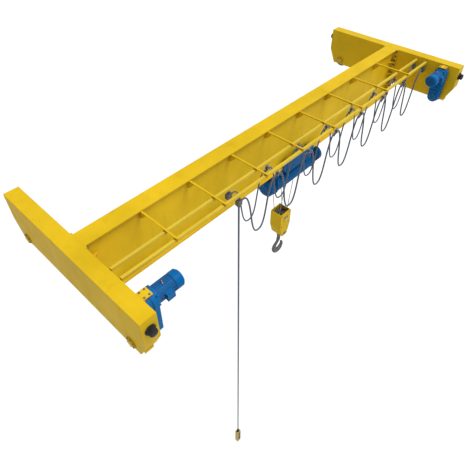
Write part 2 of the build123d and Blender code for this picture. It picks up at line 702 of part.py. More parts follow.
def tube(points, diameter, name):
    """A cable of straight runs and tangent arcs through a list of points."""
    places = [Vector(*point) for point in points]
    radii = []
    for before, here, after in zip(places, places[1:], places[2:]):
        turn = (here - before).get_angle(after - here)
        shorter = min((here - before).length, (after - here).length)
        radii.append(0.45 * shorter / math.tan(math.radians(turn) / 2))
    path = FilletPolyline(*places, radius=radii)
    start = Plane(origin=places[0], z_dir=places[1] - places[0])
    solid = sweep(start * Circle(diameter / 2), path=path)
    share = solid.volume / (math.pi * diameter ** 2 / 4 * path.length)
    print(name, "length", round(path.length), "volume share", round(share, 4),
          "radii", [round(radius) for radius in radii[:14]])
    return solid


def cable_box(x0, x1, offset):
    """A small rounded box below a cable rail."""
    half = CABLE_BOX_WIDTH / 2
    box = block(x0, x1, -offset - half, -offset + half, cable_box_low, cable_box_high)
    return fillet(box.edges(), CABLE_BOX_ROUNDING)


def end_box(offset):
    """The fixed box where a cable starts, hung from the right end of its rail."""
    x0 = loop_start + GLAND_LENGTH / 2
    x1 = x0 + CABLE_BOX_LENGTH
    box = cable_box(x0, x1, offset)
    box += rod_x(loop_start, x0 + CABLE_BOX_ROUNDING, -offset, saddle_top, GLAND_DIAMETER)
    middle = (x0 + x1) / 2
    long = BOX_HANGER_LENGTH / 2
    wide = BOX_HANGER_WIDTH / 2
    box += block(middle - long, middle + long, -offset - wide, -offset + wide,
                 cable_box_high - BOX_JOINT, rail_bottom)
    return box


def end_carrier(offset, drop_gland):
    """The box at the left end of a cable, on rollers in its rail."""
    x1 = PENDANT_X - GLAND_LENGTH / 2
    x0 = x1 - CABLE_BOX_LENGTH
    middle = (x0 + x1) / 2
    box = cable_box(x0, x1, offset)
    box += rod_x(x1 - CABLE_BOX_ROUNDING, PENDANT_X, -offset, saddle_top, GLAND_DIAMETER)
    box += roller_stem(middle, -offset, cable_box_high - BOX_JOINT)
    if drop_gland:
        box += rod_z(cable_box_low - GLAND_LENGTH, cable_box_low + CABLE_BOX_ROUNDING, middle,
                     -offset, DROP_GLAND_DIAMETER)
    return box


def build_cable_gear():
    """The arms, both rails, their carriers and both looped cables."""
    reach = rail_half - ARM_INSET
    arms = [arm(-reach + 2 * reach * n / (ARM_COUNT - 1)) for n in range(ARM_COUNT)]
    save("cable_rail_arms", *arms)
    stations = [loop_start - n * loop_pitch for n in range(1, LOOP_COUNT)]
    save("cable_rails", cable_rail(OUTER_RAIL_OFFSET), cable_rail(INNER_RAIL_OFFSET))
    save("cable_carriers", *[carrier(x, OUTER_RAIL_OFFSET, OUTER_CABLE) for x in stations],
         *[carrier(x, INNER_RAIL_OFFSET, INNER_CABLE) for x in stations])
    save("outer_looped_cable",
         tube(loop_points(OUTER_RAIL_OFFSET, OUTER_LOOP_DEPTHS), OUTER_CABLE, "outer"))
    save("inner_looped_cable",
         tube(loop_points(INNER_RAIL_OFFSET, INNER_LOOP_DEPTHS), INNER_CABLE, "inner"))
    save("cable_end_boxes", end_box(OUTER_RAIL_OFFSET), end_box(INNER_RAIL_OFFSET))
    save("cable_end_carriers", end_carrier(OUTER_RAIL_OFFSET, True),
         end_carrier(INNER_RAIL_OFFSET, False))


def build_pendant():
    """The hanging cable, the push-button station, its boot and its buttons."""
    x = PENDANT_X - GLAND_LENGTH / 2 - CABLE_BOX_LENGTH / 2
    y = -OUTER_RAIL_OFFSET
    high = cable_box_low - GLAND_LENGTH
    boot_top = high - PENDANT_LENGTH
    save("pendant_cable", rod_z(boot_top, high, x, y, PENDANT_CABLE))
    boot = scaled(BOOT_OUTLINE, BOOT_DIAMETER / 2, BOOT_LENGTH)
    boot = [(0, 0)] + boot + [(0, BOOT_LENGTH)]
    save("pendant_boot", turned(boot, (x, y, boot_top), (0, 0, -1)))
    top = boot_top - BOOT_LENGTH
    half = STATION_WIDTH / 2
    front = y - STATION_DEPTH / 2
    station = block(x - half, x + half, front, y + STATION_DEPTH / 2, top - STATION_HEIGHT, top)
    station = fillet(station.edges(), STATION_ROUNDING)
    save("pendant_station", station)
    stop_z = top - STOP_BUTTON_INSET
    mushroom = scaled(STOP_BUTTON_OUTLINE, STOP_BUTTON_DIAMETER / 2, STOP_BUTTON_HEIGHT)
    mushroom = [(0, 0)] + mushroom + [(0, STOP_BUTTON_HEIGHT)]
    save("pendant_stop_button", turned(mushroom, (x, front, stop_z), (0, -1, 0)))
    buttons = []
    for n in range(BUTTON_COUNT):
        z = stop_z - FIRST_BUTTON_DROP - n * BUTTON_PITCH
        buttons.append(rod_y(front - BUTTON_HEIGHT, front, x, z, BUTTON_DIAMETER))
    save("pendant_buttons", *buttons)


# Trolley and hoist

def trolley_plate(sign):
    """One side plate of the trolley, tapered below, with caps over the wheel bearings."""
    half = TROLLEY_PLATE_LENGTH / 2
    low = girder_bottom - TROLLEY_PLATE_DROP
    high = trolley_wheel_z + TROLLEY_PLATE_RISE
    outline = [(-half, high), (half, high), (half, girder_bottom), (half - TROLLEY_PLATE_TAPER, low),
               (TROLLEY_PLATE_TAPER - half, low), (-half, girder_bottom)]
    sketch = make_face(Polyline(outline, close=True))
    sketch = fillet(sketch.vertices(), TROLLEY_PLATE_ROUNDING)
    inner = sign * trolley_plate_y
    outer = sign * (trolley_plate_y + TROLLEY_PLATE_THICKNESS)
    plate = Pos(TROLLEY_X, 0, 0) * plate_xz(sketch, inner, outer)
    radius = TROLLEY_CAP_DIAMETER / 2
    cap = scaled(TROLLEY_CAP_OUTLINE, radius, TROLLEY_CAP_THICKNESS)
    cap = [(0, 0)] + cap + [(0, TROLLEY_CAP_THICKNESS)]
    for end in (-1, 1):
        x = TROLLEY_X + end * TROLLEY_WHEEL_PITCH / 2
        plate += turned(cap, (x, outer, trolley_wheel_z), (0, sign, 0))
        plate += turned(cap, (x, outer, crossbar_z), (0, sign, 0)) & block(
            x - radius, x + radius, -2 * trolley_plate_y, 2 * trolley_plate_y, low, high)
    return plate


def trolley_wheel(sign, end):
    """A flanged wheel on the lower flange, with a stub axle that reaches its side plate."""
    radius = TROLLEY_WHEEL_DIAMETER / 2
    gap = TROLLEY_EDGE_GAP
    back = TROLLEY_PLATE_GAP - gap
    wide = TROLLEY_WHEEL_WIDTH
    flange = radius + TROLLEY_FLANGE_HEIGHT
    axle = TROLLEY_AXLE_DIAMETER / 2
    hub = TROLLEY_HUB_DIAMETER / 2
    chamfer = TROLLEY_WHEEL_CHAMFER
    recess = wide - TROLLEY_HUB_RECESS
    profile = [(0, -back), (axle, -back), (axle, -TROLLEY_FLANGE_WIDTH),
               (flange, -TROLLEY_FLANGE_WIDTH), (flange, 0), (radius, TROLLEY_TREAD_SLOPE),
               (radius, wide - chamfer), (radius - chamfer, wide), (hub, wide), (hub, recess),
               (0, recess)]
    x = TROLLEY_X + end * TROLLEY_WHEEL_PITCH / 2
    origin = (x, sign * (flange_edge + gap), trolley_wheel_z)
    return turned(profile, origin, (0, -sign, 0))


def trolley_drive():
    """The gear case and motor that drive the far wheels of the trolley."""
    y0 = trolley_plate_y + TROLLEY_PLATE_THICKNESS
    y1 = y0 + TROLLEY_DRIVE_DEPTH
    half = TROLLEY_DRIVE_WIDTH / 2
    z1 = trolley_wheel_z + TROLLEY_PLATE_RISE - TROLLEY_DRIVE_HEADROOM
    case = block(TROLLEY_X - half, TROLLEY_X + half, y0, y1, z1 - TROLLEY_DRIVE_HEIGHT, z1)
    case = fillet(case.edges().filter_by(Axis.Y), TROLLEY_DRIVE_ROUNDING)
    y = y0 + TROLLEY_MOTOR_DIAMETER / 2 + TROLLEY_CAP_THICKNESS + TROLLEY_MOTOR_GAP
    motor = finned_motor(TROLLEY_X + half, 1, y, z1 - TROLLEY_DRIVE_HEIGHT / 2,
                         TROLLEY_MOTOR_DIAMETER, TROLLEY_MOTOR_LENGTH, TROLLEY_FIN_COUNT,
                         TROLLEY_FIN_HEIGHT, 1)
    return case, motor


def hanger_plate(sign, bars):
    """A long plate that hangs on both crossbars and carries the drum end plates."""
    y0 = sign * HANGER_SPACING / 2
    y1 = y0 + sign * HANGER_THICKNESS
    plate = block(drum_left, drum_right, y0, y1, hanger_bottom, hanger_top)
    for bar in bars:
        plate -= bar
    return plate


def drum_end_plate(end):
    """A drum end plate, round below, with a bearing boss outside."""
    x0 = drum_left if end < 0 else drum_right
    x1 = x0 + end * DRUM_PLATE_THICKNESS
    half = DRUM_PLATE_WIDTH / 2
    plate = block(x0, x1, -half, half, drum_z, hanger_top)
    return plate + rod_x(x0, x1, 0, drum_z, DRUM_PLATE_WIDTH)


def rope_drum():
    """A hollow drum with a rim at each end."""
    radius = DRUM_DIAMETER / 2
    rim = radius + DRUM_RIM_HEIGHT
    inside = radius - DRUM_WALL
    profile = [(inside, 0), (rim, 0), (rim, DRUM_RIM_WIDTH), (radius, DRUM_RIM_WIDTH),
               (radius, DRUM_LENGTH - DRUM_RIM_WIDTH), (rim, DRUM_LENGTH - DRUM_RIM_WIDTH),
               (rim, DRUM_LENGTH), (inside, DRUM_LENGTH)]
    return turned(profile, (drum_left, 0, drum_z), (1, 0, 0))


def drum_covers():
    """The two curved sheets over the drum, one each side of the hanger plates."""
    inner = COVER_RADIUS - COVER_THICKNESS
    cover = rod_x(drum_left, drum_right, 0, drum_z, 2 * COVER_RADIUS)
    cover -= rod_x(drum_left, drum_right, 0, drum_z, 2 * inner)
    gap = HANGER_SPACING / 2 + HANGER_THICKNESS + FIT_GAP
    cover -= block(drum_left, drum_right, -gap, gap, drum_z, drum_z + 2 * COVER_RADIUS)
    cover -= block(drum_left, drum_right, -2 * COVER_RADIUS, 2 * COVER_RADIUS,
                   drum_z - 2 * COVER_RADIUS, drum_z - COVER_LOW_EDGE)
    return cover


def hoist_gearbox():
    """The round stepped gearbox at the left end of the drum, with ribs."""
    radius = HOIST_GEARBOX_DIAMETER / 2
    length = HOIST_GEARBOX_LENGTH
    profile = [(0, 0)] + scaled(HOIST_GEARBOX_OUTLINE, radius, length) + [(0, length)]
    face = drum_left - DRUM_PLATE_THICKNESS
    case = turned(profile, (face, 0, drum_z), (-1, 0, 0))
    run = HOIST_RIB_SHARE * length
    for n in range(HOIST_RIB_COUNT):
        rib = Box(run, HOIST_RIB_THICKNESS, HOIST_RIB_HEIGHT)
        rib = Pos(-run, 0, radius - 0.75 * HOIST_RIB_HEIGHT) * rib
        case += Pos(face, 0, drum_z) * Rot(360.0 * (n + 0.5) / HOIST_RIB_COUNT, 0, 0) * rib
    return case


def rope_anchor(sign):
    """A bracket on the far hanger plate, with a strap and a socket for one rope's fixed end."""
    x = block_x + sign * sheave_radius
    y0 = HANGER_SPACING / 2 + HANGER_THICKNESS
    half = ANCHOR_WIDTH / 2
    y1 = ANCHOR_OFFSET + half
    low = hanger_bottom + ANCHOR_RISE
    shape = block(x - half, x + half, y0, y1, low, low + ANCHOR_THICKNESS)
    shape += block(x - half, x + half, y1 - ANCHOR_STRAP, y1, drum_z, low)
    shape += rod_z(drum_z, drum_z + ANCHOR_SOCKET, x, ANCHOR_OFFSET, ANCHOR_WIDTH)
    return shape


def build_trolley():
    """The underslung trolley and the rope hoist that it carries."""
    ends = (-1, 1)
    save("trolley_side_plates", *[trolley_plate(sign) for sign in ends])
    save("trolley_wheels", *[trolley_wheel(sign, end) for sign in ends for end in ends])
    bars = []
    for end in ends:
        x = TROLLEY_X + end * TROLLEY_WHEEL_PITCH / 2
        bars.append(rod_y(-trolley_plate_y, trolley_plate_y, x, crossbar_z, CROSSBAR_DIAMETER))
    save("trolley_crossbars", *bars)
    gear_case, motor = trolley_drive()
    save("trolley_drive_gearbox", gear_case)
    save("trolley_drive_motor", motor)
    save("hoist_hanger_plates", *[hanger_plate(sign, bars) for sign in ends])
    save("drum_end_plates", *[drum_end_plate(end) for end in ends])
    save("rope_drum", rope_drum())
    save("drum_covers", drum_covers())
    save("hoist_gearbox", hoist_gearbox())
    save("hoist_motor",
         finned_motor(drum_right + DRUM_PLATE_THICKNESS, 1, 0, drum_z, HOIST_MOTOR_DIAMETER,
                      HOIST_MOTOR_LENGTH, HOIST_FIN_COUNT, HOIST_FIN_HEIGHT, 1))
    save("rope_anchors", *[rope_anchor(sign) for sign in ends])


# Ropes, hook block and hook

def rope(x, top, bottom):
    """A straight rope between two points given as (y, z), cut level at both ends."""
    start = Vector(x, top[0], top[1])
    end = Vector(x, bottom[0], bottom[1])
    along = (end - start).normalized()
    spare = 2 * ROPE_DIAMETER
    plane = Plane(origin=start - along * spare, z_dir=along)
    bar = extrude(plane * Circle(ROPE_DIAMETER / 2), (end - start).length + 2 * spare)
    wide = 2 * ANCHOR_OFFSET
    return bar & block(x - ROPE_DIAMETER, x + ROPE_DIAMETER, -wide, wide, bottom[1], top[1])


def rope_falls():
    """Four falls: two from the drum's near side and two from the far sockets."""
    falls = []
    drum_side = -DRUM_DIAMETER / 2 - ROPE_DIAMETER / 2 - ROPE_LEAD
    for sign in (-1, 1):
        x = block_x + sign * sheave_radius
        falls.append(rope(x, (drum_side, drum_z), (-SHEAVE_SPACING / 2, SHEAVE_LEVEL)))
        falls.append(rope(x, (ANCHOR_OFFSET, drum_z), (SHEAVE_SPACING / 2, SHEAVE_LEVEL)))
    return falls


def block_outline(inset):
    """The side outline of the hook block: upright above, tapered to its foot."""
    corners = [(BLOCK_HALF_WIDTH, SHEAVE_LEVEL + BLOCK_RISE - BLOCK_ROUNDING),
               (BLOCK_HALF_WIDTH, SHEAVE_LEVEL - BLOCK_SHOULDER_DROP),
               (BLOCK_FOOT_HALF, block_foot + BLOCK_ROUNDING)]
    edges = []
    for half, z in corners:
        for sign in (-1, 1):
            place = Pos(block_x + sign * (half - BLOCK_ROUNDING), z, 0)
            edges.append(place * Edge.make_circle(BLOCK_ROUNDING - inset))
    return make_hull(edges)


def block_cheek(sign):
    """One outer plate of the block, with a raised boss round the sheave axle."""
    outer = sign * BLOCK_THICKNESS / 2
    inner = outer - sign * CHEEK_THICKNESS
    cheek = plate_xz(block_outline(0), inner, outer)
    boss = outer + sign * CHEEK_BOSS_HEIGHT
    cheek += rod_y(outer, boss, block_x, SHEAVE_LEVEL, CHEEK_BOSS_DIAMETER)
    cheek -= rod_y(inner, boss, block_x, SHEAVE_LEVEL, SHEAVE_AXLE)
    trunnion_z = crosshead_top - CROSSHEAD_HEIGHT / 2
    cheek -= rod_y(inner, outer, block_x, trunnion_z, TRUNNION_DIAMETER)
    return cheek


def block_guard():
    """The bent sheet between the cheeks, open above for the ropes and below for the hook."""
    inner = BLOCK_THICKNESS / 2 - CHEEK_THICKNESS
    guard = plate_xz(block_outline(0), -inner, inner)
    guard -= plate_xz(block_outline(GUARD_THICKNESS), -inner, inner)
    wide = BLOCK_THICKNESS
    mouth = SHEAVE_LEVEL + BLOCK_RISE
    guard -= block(block_x - BLOCK_MOUTH_HALF, block_x + BLOCK_MOUTH_HALF, -wide, wide,
                   mouth - BLOCK_MOUTH_DEPTH, mouth)
    foot = block_foot + CROSSHEAD_LIFT
    guard -= block(block_x - CROSSHEAD_WIDTH / 2, block_x + CROSSHEAD_WIDTH / 2, -wide, wide,
                   block_foot - CROSSHEAD_LIFT, foot)
    return guard


def sheave(sign):
    """A grooved sheave with a thin web and a wide hub."""
    groove = sheave_radius - ROPE_DIAMETER / 2 - FIT_GAP
    rim = sheave_radius + SHEAVE_RIM
    hub = SHEAVE_HUB_DIAMETER / 2
    wide = SHEAVE_WIDTH / 2
    reach = wide + SHEAVE_HUB_REACH
    web = SHEAVE_WEB_THICKNESS / 2
    inside = groove - SHEAVE_RIM_DEPTH
    half = [(SHEAVE_AXLE / 2, reach), (hub, reach), (hub + SHEAVE_HUB_TAPER, web), (inside, web),
            (inside + SHEAVE_RIM_TAPER, wide), (rim - SHEAVE_CHAMFER, wide),
            (rim, wide - SHEAVE_CHAMFER), (sheave_radius, SHEAVE_MOUTH_SHARE * wide),
            (groove, SHEAVE_GROOVE_SHARE * wide)]
    profile = half + [(r, -d) for r, d in reversed(half)]
    return turned(profile, (block_x, sign * SHEAVE_SPACING / 2, SHEAVE_LEVEL), (0, 1, 0))


def sheave_rope(sign):
    """The rope round the lower half of one sheave."""
    y = sign * SHEAVE_SPACING / 2
    ring = Pos(block_x, y, SHEAVE_LEVEL) * Rot(90, 0, 0) * Torus(sheave_radius,
                                                                ROPE_DIAMETER / 2)
    wide = 2 * BLOCK_HALF_WIDTH
    return ring & block(block_x - wide, block_x + wide, -wide, wide, SHEAVE_LEVEL - wide,
                        SHEAVE_LEVEL)


def crosshead():
    """The crossbar that the hook hangs in, with trunnions through both cheeks."""
    inner = BLOCK_THICKNESS / 2 - CHEEK_THICKNESS
    half = CROSSHEAD_WIDTH / 2
    low = crosshead_top - CROSSHEAD_HEIGHT
    middle = (low + crosshead_top) / 2
    head = block(block_x - half, block_x + half, -inner, inner, low, crosshead_top)
    head = fillet(head.edges().filter_by(Axis.Z), CROSSHEAD_ROUNDING)
    reach = BLOCK_THICKNESS / 2 + TRUNNION_REACH
    head += rod_y(-reach, reach, block_x, middle, TRUNNION_DIAMETER)
    head -= rod_z(low, crosshead_top, block_x, 0, SHANK_DIAMETER + 2 * SHANK_CLEARANCE)
    return head


def hook():
    """A forged single hook: nut, shank and a tapered bowl lofted through round sections."""
    radius = SHANK_DIAMETER / 2
    shank_top = crosshead_top + HOOK_NUT_HEIGHT + SHANK_RISE
    neck_z = bowl_z + NECK_RISE * THROAT_RADIUS
    shank = rod_z(neck_z, shank_top, block_x, 0, SHANK_DIAMETER)
    nut = rod_z(crosshead_top + FIT_GAP, crosshead_top + HOOK_NUT_HEIGHT, block_x, 0,
                HOOK_NUT_DIAMETER)
    wide = radius + HOOK_COLLAR_MARGIN
    levels = HOOK_COLLAR_LEVELS
    collar = turned([(0, levels[0]), (radius, levels[0]), (wide, levels[1]), (wide, levels[2]),
                     (radius, levels[3]), (0, levels[3])],
                    (block_x, 0, block_foot - HOOK_COLLAR_DROP), (0, 0, 1))
    sections = [Plane(origin=(block_x, 0, neck_z), x_dir=(1, 0, 0), z_dir=(0, 0, -1))
                * Ellipse(radius, radius)]
    lean = math.radians(SHOULDER_LEAN)
    shoulder = Plane(origin=(block_x + SHOULDER_SHIFT * THROAT_RADIUS, 0,
                             neck_z - SHOULDER_DROP * THROAT_RADIUS),
                     x_dir=(-math.cos(lean), 0, math.sin(lean)),
                     z_dir=(-math.sin(lean), 0, -math.cos(lean)))
    sections.append(shoulder * Ellipse(radius, radius))
    for angle, share in HOOK_SECTIONS:
        turn = math.radians(angle)
        thick = share * SHANK_DIAMETER
        outward = Vector(math.cos(turn), 0, math.sin(turn))
        along = Vector(-math.sin(turn), 0, math.cos(turn))
        centre = Vector(block_x, 0, bowl_z) + outward * (THROAT_RADIUS + thick / 2)
        sections.append(Plane(origin=centre, x_dir=outward, z_dir=along)
                        * Ellipse(thick / 2, HOOK_FLATNESS * thick / 2))
    return shank + nut + collar + loft(sections)


def build_hook_block():
    """The four rope falls, the block and the hook."""
    ends = (-1, 1)
    save("rope_falls", *rope_falls())
    save("block_cheeks", *[block_cheek(sign) for sign in ends])
    save("block_guard", block_guard())
    save("block_sheaves", *[sheave(sign) for sign in ends])
    save("sheave_ropes", *[sheave_rope(sign) for sign in ends])
    reach = BLOCK_THICKNESS / 2 + SHEAVE_AXLE_REACH
    save("block_axle", rod_y(-reach, reach, block_x, SHEAVE_LEVEL, SHEAVE_AXLE))
    save("hook_crosshead", crosshead())
    save("hook", hook())


def main():
    """Writes every piece."""
    os.makedirs("parts", exist_ok=True)
    build_carriages()
    build_girder()
    build_cable_gear()
    build_pendant()
    build_trolley()
    build_hook_block()


main()
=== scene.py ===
import json
import math
from collections import namedtuple

import bmesh
import bpy
from mathutils import Matrix, Vector


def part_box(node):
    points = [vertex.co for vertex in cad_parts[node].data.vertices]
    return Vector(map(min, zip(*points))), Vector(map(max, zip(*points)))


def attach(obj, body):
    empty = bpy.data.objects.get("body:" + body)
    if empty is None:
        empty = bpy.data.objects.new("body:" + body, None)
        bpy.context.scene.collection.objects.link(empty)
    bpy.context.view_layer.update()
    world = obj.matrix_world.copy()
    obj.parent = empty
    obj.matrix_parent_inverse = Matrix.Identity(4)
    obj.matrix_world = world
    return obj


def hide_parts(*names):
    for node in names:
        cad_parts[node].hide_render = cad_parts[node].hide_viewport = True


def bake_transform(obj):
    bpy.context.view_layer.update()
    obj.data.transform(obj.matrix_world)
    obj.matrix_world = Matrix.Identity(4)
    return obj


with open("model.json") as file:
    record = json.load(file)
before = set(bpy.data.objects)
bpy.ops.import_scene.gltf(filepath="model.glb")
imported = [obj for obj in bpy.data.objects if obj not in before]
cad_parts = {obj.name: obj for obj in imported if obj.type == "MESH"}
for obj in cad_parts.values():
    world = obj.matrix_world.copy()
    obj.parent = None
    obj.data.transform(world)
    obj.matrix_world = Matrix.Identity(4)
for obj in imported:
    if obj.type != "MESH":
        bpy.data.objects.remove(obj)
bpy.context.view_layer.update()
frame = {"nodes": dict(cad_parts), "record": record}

NODES = frame["nodes"]

# Sizes, counts and shares that are also in the part, with lengths in metres

SPAN = 7.5
TOP_LEVEL = 0.745
CARRIAGE_LENGTH = 2.82
CARRIAGE_WIDTH = 0.21
WHEEL_INSET = 0.28
WHEEL_DIAMETER = 0.25
BEARING_THICKNESS = 0.026
BEARING_RIM_HEIGHT = 0.014
BUFFER_LEVEL = 0.56
BUFFER_BASE_THICKNESS = 0.010

GIRDER_DEPTH = 1.0
TOP_FLANGE_THICKNESS = 0.016
LOWER_FLANGE_THICKNESS = 0.020
LOWER_FLANGE_WIDTH = 0.30
WEB_SPACING = 0.15
END_PLATE_THICKNESS = 0.020

GEARBOX_DEPTH = 0.13
GEARBOX_LOW_RADIUS = 0.100
GEARBOX_HIGH_RADIUS = 0.112
GEARBOX_HEADROOM = 0.050
GEARBOX_RIM = 0.010
GEARBOX_RIM_WIDTH = 0.016
GEARBOX_COVER_THICKNESS = 0.009
TORQUE_PLATE_DROP = 0.020
MOTOR_RADIUS = 0.11
MOTOR_LENGTH = 0.38
MOTOR_COWL_SHARE = 0.24
TERMINAL_BOX_HEIGHT = 0.042

ARM_COUNT = 8
ARM_INSET = 0.78
ARM_SIZE = 0.028
GUSSET_SIZE = 0.12
INNER_RAIL = 0.58
OUTER_RAIL = 0.77
RAIL_SIZE = 0.040
RAIL_END_GAP = 0.030
CLIP_THICKNESS = 0.004
FIT_GAP = 0.0003

OUTER_DEPTHS = [0.845, 0.865, 0.84, 0.875, 0.85, 0.835, 0.83]
INNER_DEPTHS = [0.765, 0.755, 0.78, 0.785, 0.765, 0.775, 0.76]
LOOP_COUNT = len(OUTER_DEPTHS)
LOOP_INSET = 0.115
OUTER_CABLE = 0.026
INNER_CABLE = 0.022
SADDLE_DROP = 0.096
SADDLE_WIDTH = 0.044
CABLE_BOX_LENGTH = 0.084
CABLE_BOX_WIDTH = 0.062
CABLE_BOX_SINK = 0.0521
CABLE_BOX_GAP = 0.013
PENDANT_X = -1.7
PENDANT_CABLE = 0.028
BUTTON_COUNT = 6
BUTTON_PITCH = 0.058
BUTTON_HEIGHT = 0.007

TROLLEY_X = 0.45
TROLLEY_WHEEL_PITCH = 0.62
TROLLEY_PLATE_GAP = 0.022
TROLLEY_PLATE_THICKNESS = 0.012
TROLLEY_CAP_STEP = 0.0072
CROSSBAR_DROP = 0.065
TROLLEY_DRIVE_DEPTH = 0.090
TROLLEY_DRIVE_Z = -0.1947
TROLLEY_MOTOR_RADIUS = 0.060
TROLLEY_MOTOR_LENGTH = 0.23
TROLLEY_MOTOR_GAP = 0.016
HANGER_SPACING = 0.13
HANGER_THICKNESS = 0.010
HANGER_HEIGHT = 0.15
HANGER_RISE = 0.035
DRUM_DIAMETER = 0.25
DRUM_LENGTH = 1.09
DRUM_DROP = 0.345
DRUM_PLATE_THICKNESS = 0.015
COVER_RADIUS = 0.17
HOIST_GEARBOX_LENGTH = 0.17
HOIST_MOTOR_RADIUS = 0.145
HOIST_MOTOR_LENGTH = 0.28

ROPE_RADIUS = 0.007
ROPE_LEAD = 0.001
BLOCK_SHIFT = -0.15
FALL_REACH = 0.12
ANCHOR_OFFSET = 0.20
SHEAVE_Z = -1.632
SHEAVE_SPACING = 0.092
BLOCK_THICKNESS = 0.262
BLOCK_DROP = 0.47

# Places worked out from the sizes above

CARRIAGE_X = SPAN / 2
CARRIAGE_FACE = CARRIAGE_WIDTH / 2
CARRIAGE_END = CARRIAGE_LENGTH / 2
INNER_FACE = CARRIAGE_X - CARRIAGE_FACE
WHEEL_Y = CARRIAGE_END - WHEEL_INSET
WHEEL_Z = WHEEL_DIAMETER / 2
DRIVE_FACE = INNER_FACE - BEARING_THICKNESS
GEARBOX_END = DRIVE_FACE - GEARBOX_DEPTH
GEARBOX_RIM_FACE = DRIVE_FACE - (GEARBOX_DEPTH + GEARBOX_RIM_WIDTH) / 2
MOTOR_Z = TOP_LEVEL - GEARBOX_HEADROOM - GEARBOX_HIGH_RADIUS
GIRDER_HALF = INNER_FACE - END_PLATE_THICKNESS
GIRDER_BOTTOM = TOP_LEVEL - GIRDER_DEPTH
FLANGE_TOP = GIRDER_BOTTOM + LOWER_FLANGE_THICKNESS
WEB_FACE = WEB_SPACING / 2
ARM_LEVEL = TOP_LEVEL - TOP_FLANGE_THICKNESS
RAIL_TOP = ARM_LEVEL - ARM_SIZE
RAIL_HALF = INNER_FACE - RAIL_END_GAP
ARM_REACH = RAIL_HALF - ARM_INSET
SADDLE_TOP = RAIL_TOP - RAIL_SIZE - SADDLE_DROP
LOOP_START = RAIL_HALF - LOOP_INSET
LOOP_PITCH = (LOOP_START - PENDANT_X) / LOOP_COUNT
TROLLEY_SIDE = LOWER_FLANGE_WIDTH / 2 + TROLLEY_PLATE_GAP + TROLLEY_PLATE_THICKNESS
CROSSBAR_Z = GIRDER_BOTTOM - CROSSBAR_DROP
HANGER_FACE = HANGER_SPACING / 2 + HANGER_THICKNESS
HANGER_LOW = CROSSBAR_Z + HANGER_RISE - HANGER_HEIGHT
DRUM_Z = GIRDER_BOTTOM - DRUM_DROP
DRUM_LEFT = TROLLEY_X - DRUM_LENGTH / 2
DRUM_RIGHT = TROLLEY_X + DRUM_LENGTH / 2
BLOCK_X = TROLLEY_X + BLOCK_SHIFT
BLOCK_FACE = BLOCK_THICKNESS / 2
BLOCK_FOOT = SHEAVE_Z - BLOCK_DROP

# The two sides of a middle plane, and the four corners about a middle

SIDES = (-1, 1)
CORNERS = [(side, end) for side in SIDES for end in SIDES]


# Materials

def colour(red, green, blue):
    """A shader colour."""
    return (red, green, blue, 1.0)


def tinted(base, share, lift=0.0):
    """A shader colour with every channel of a base multiplied and lifted."""
    return colour(*[min(1.0, share * channel + lift) for channel in base])


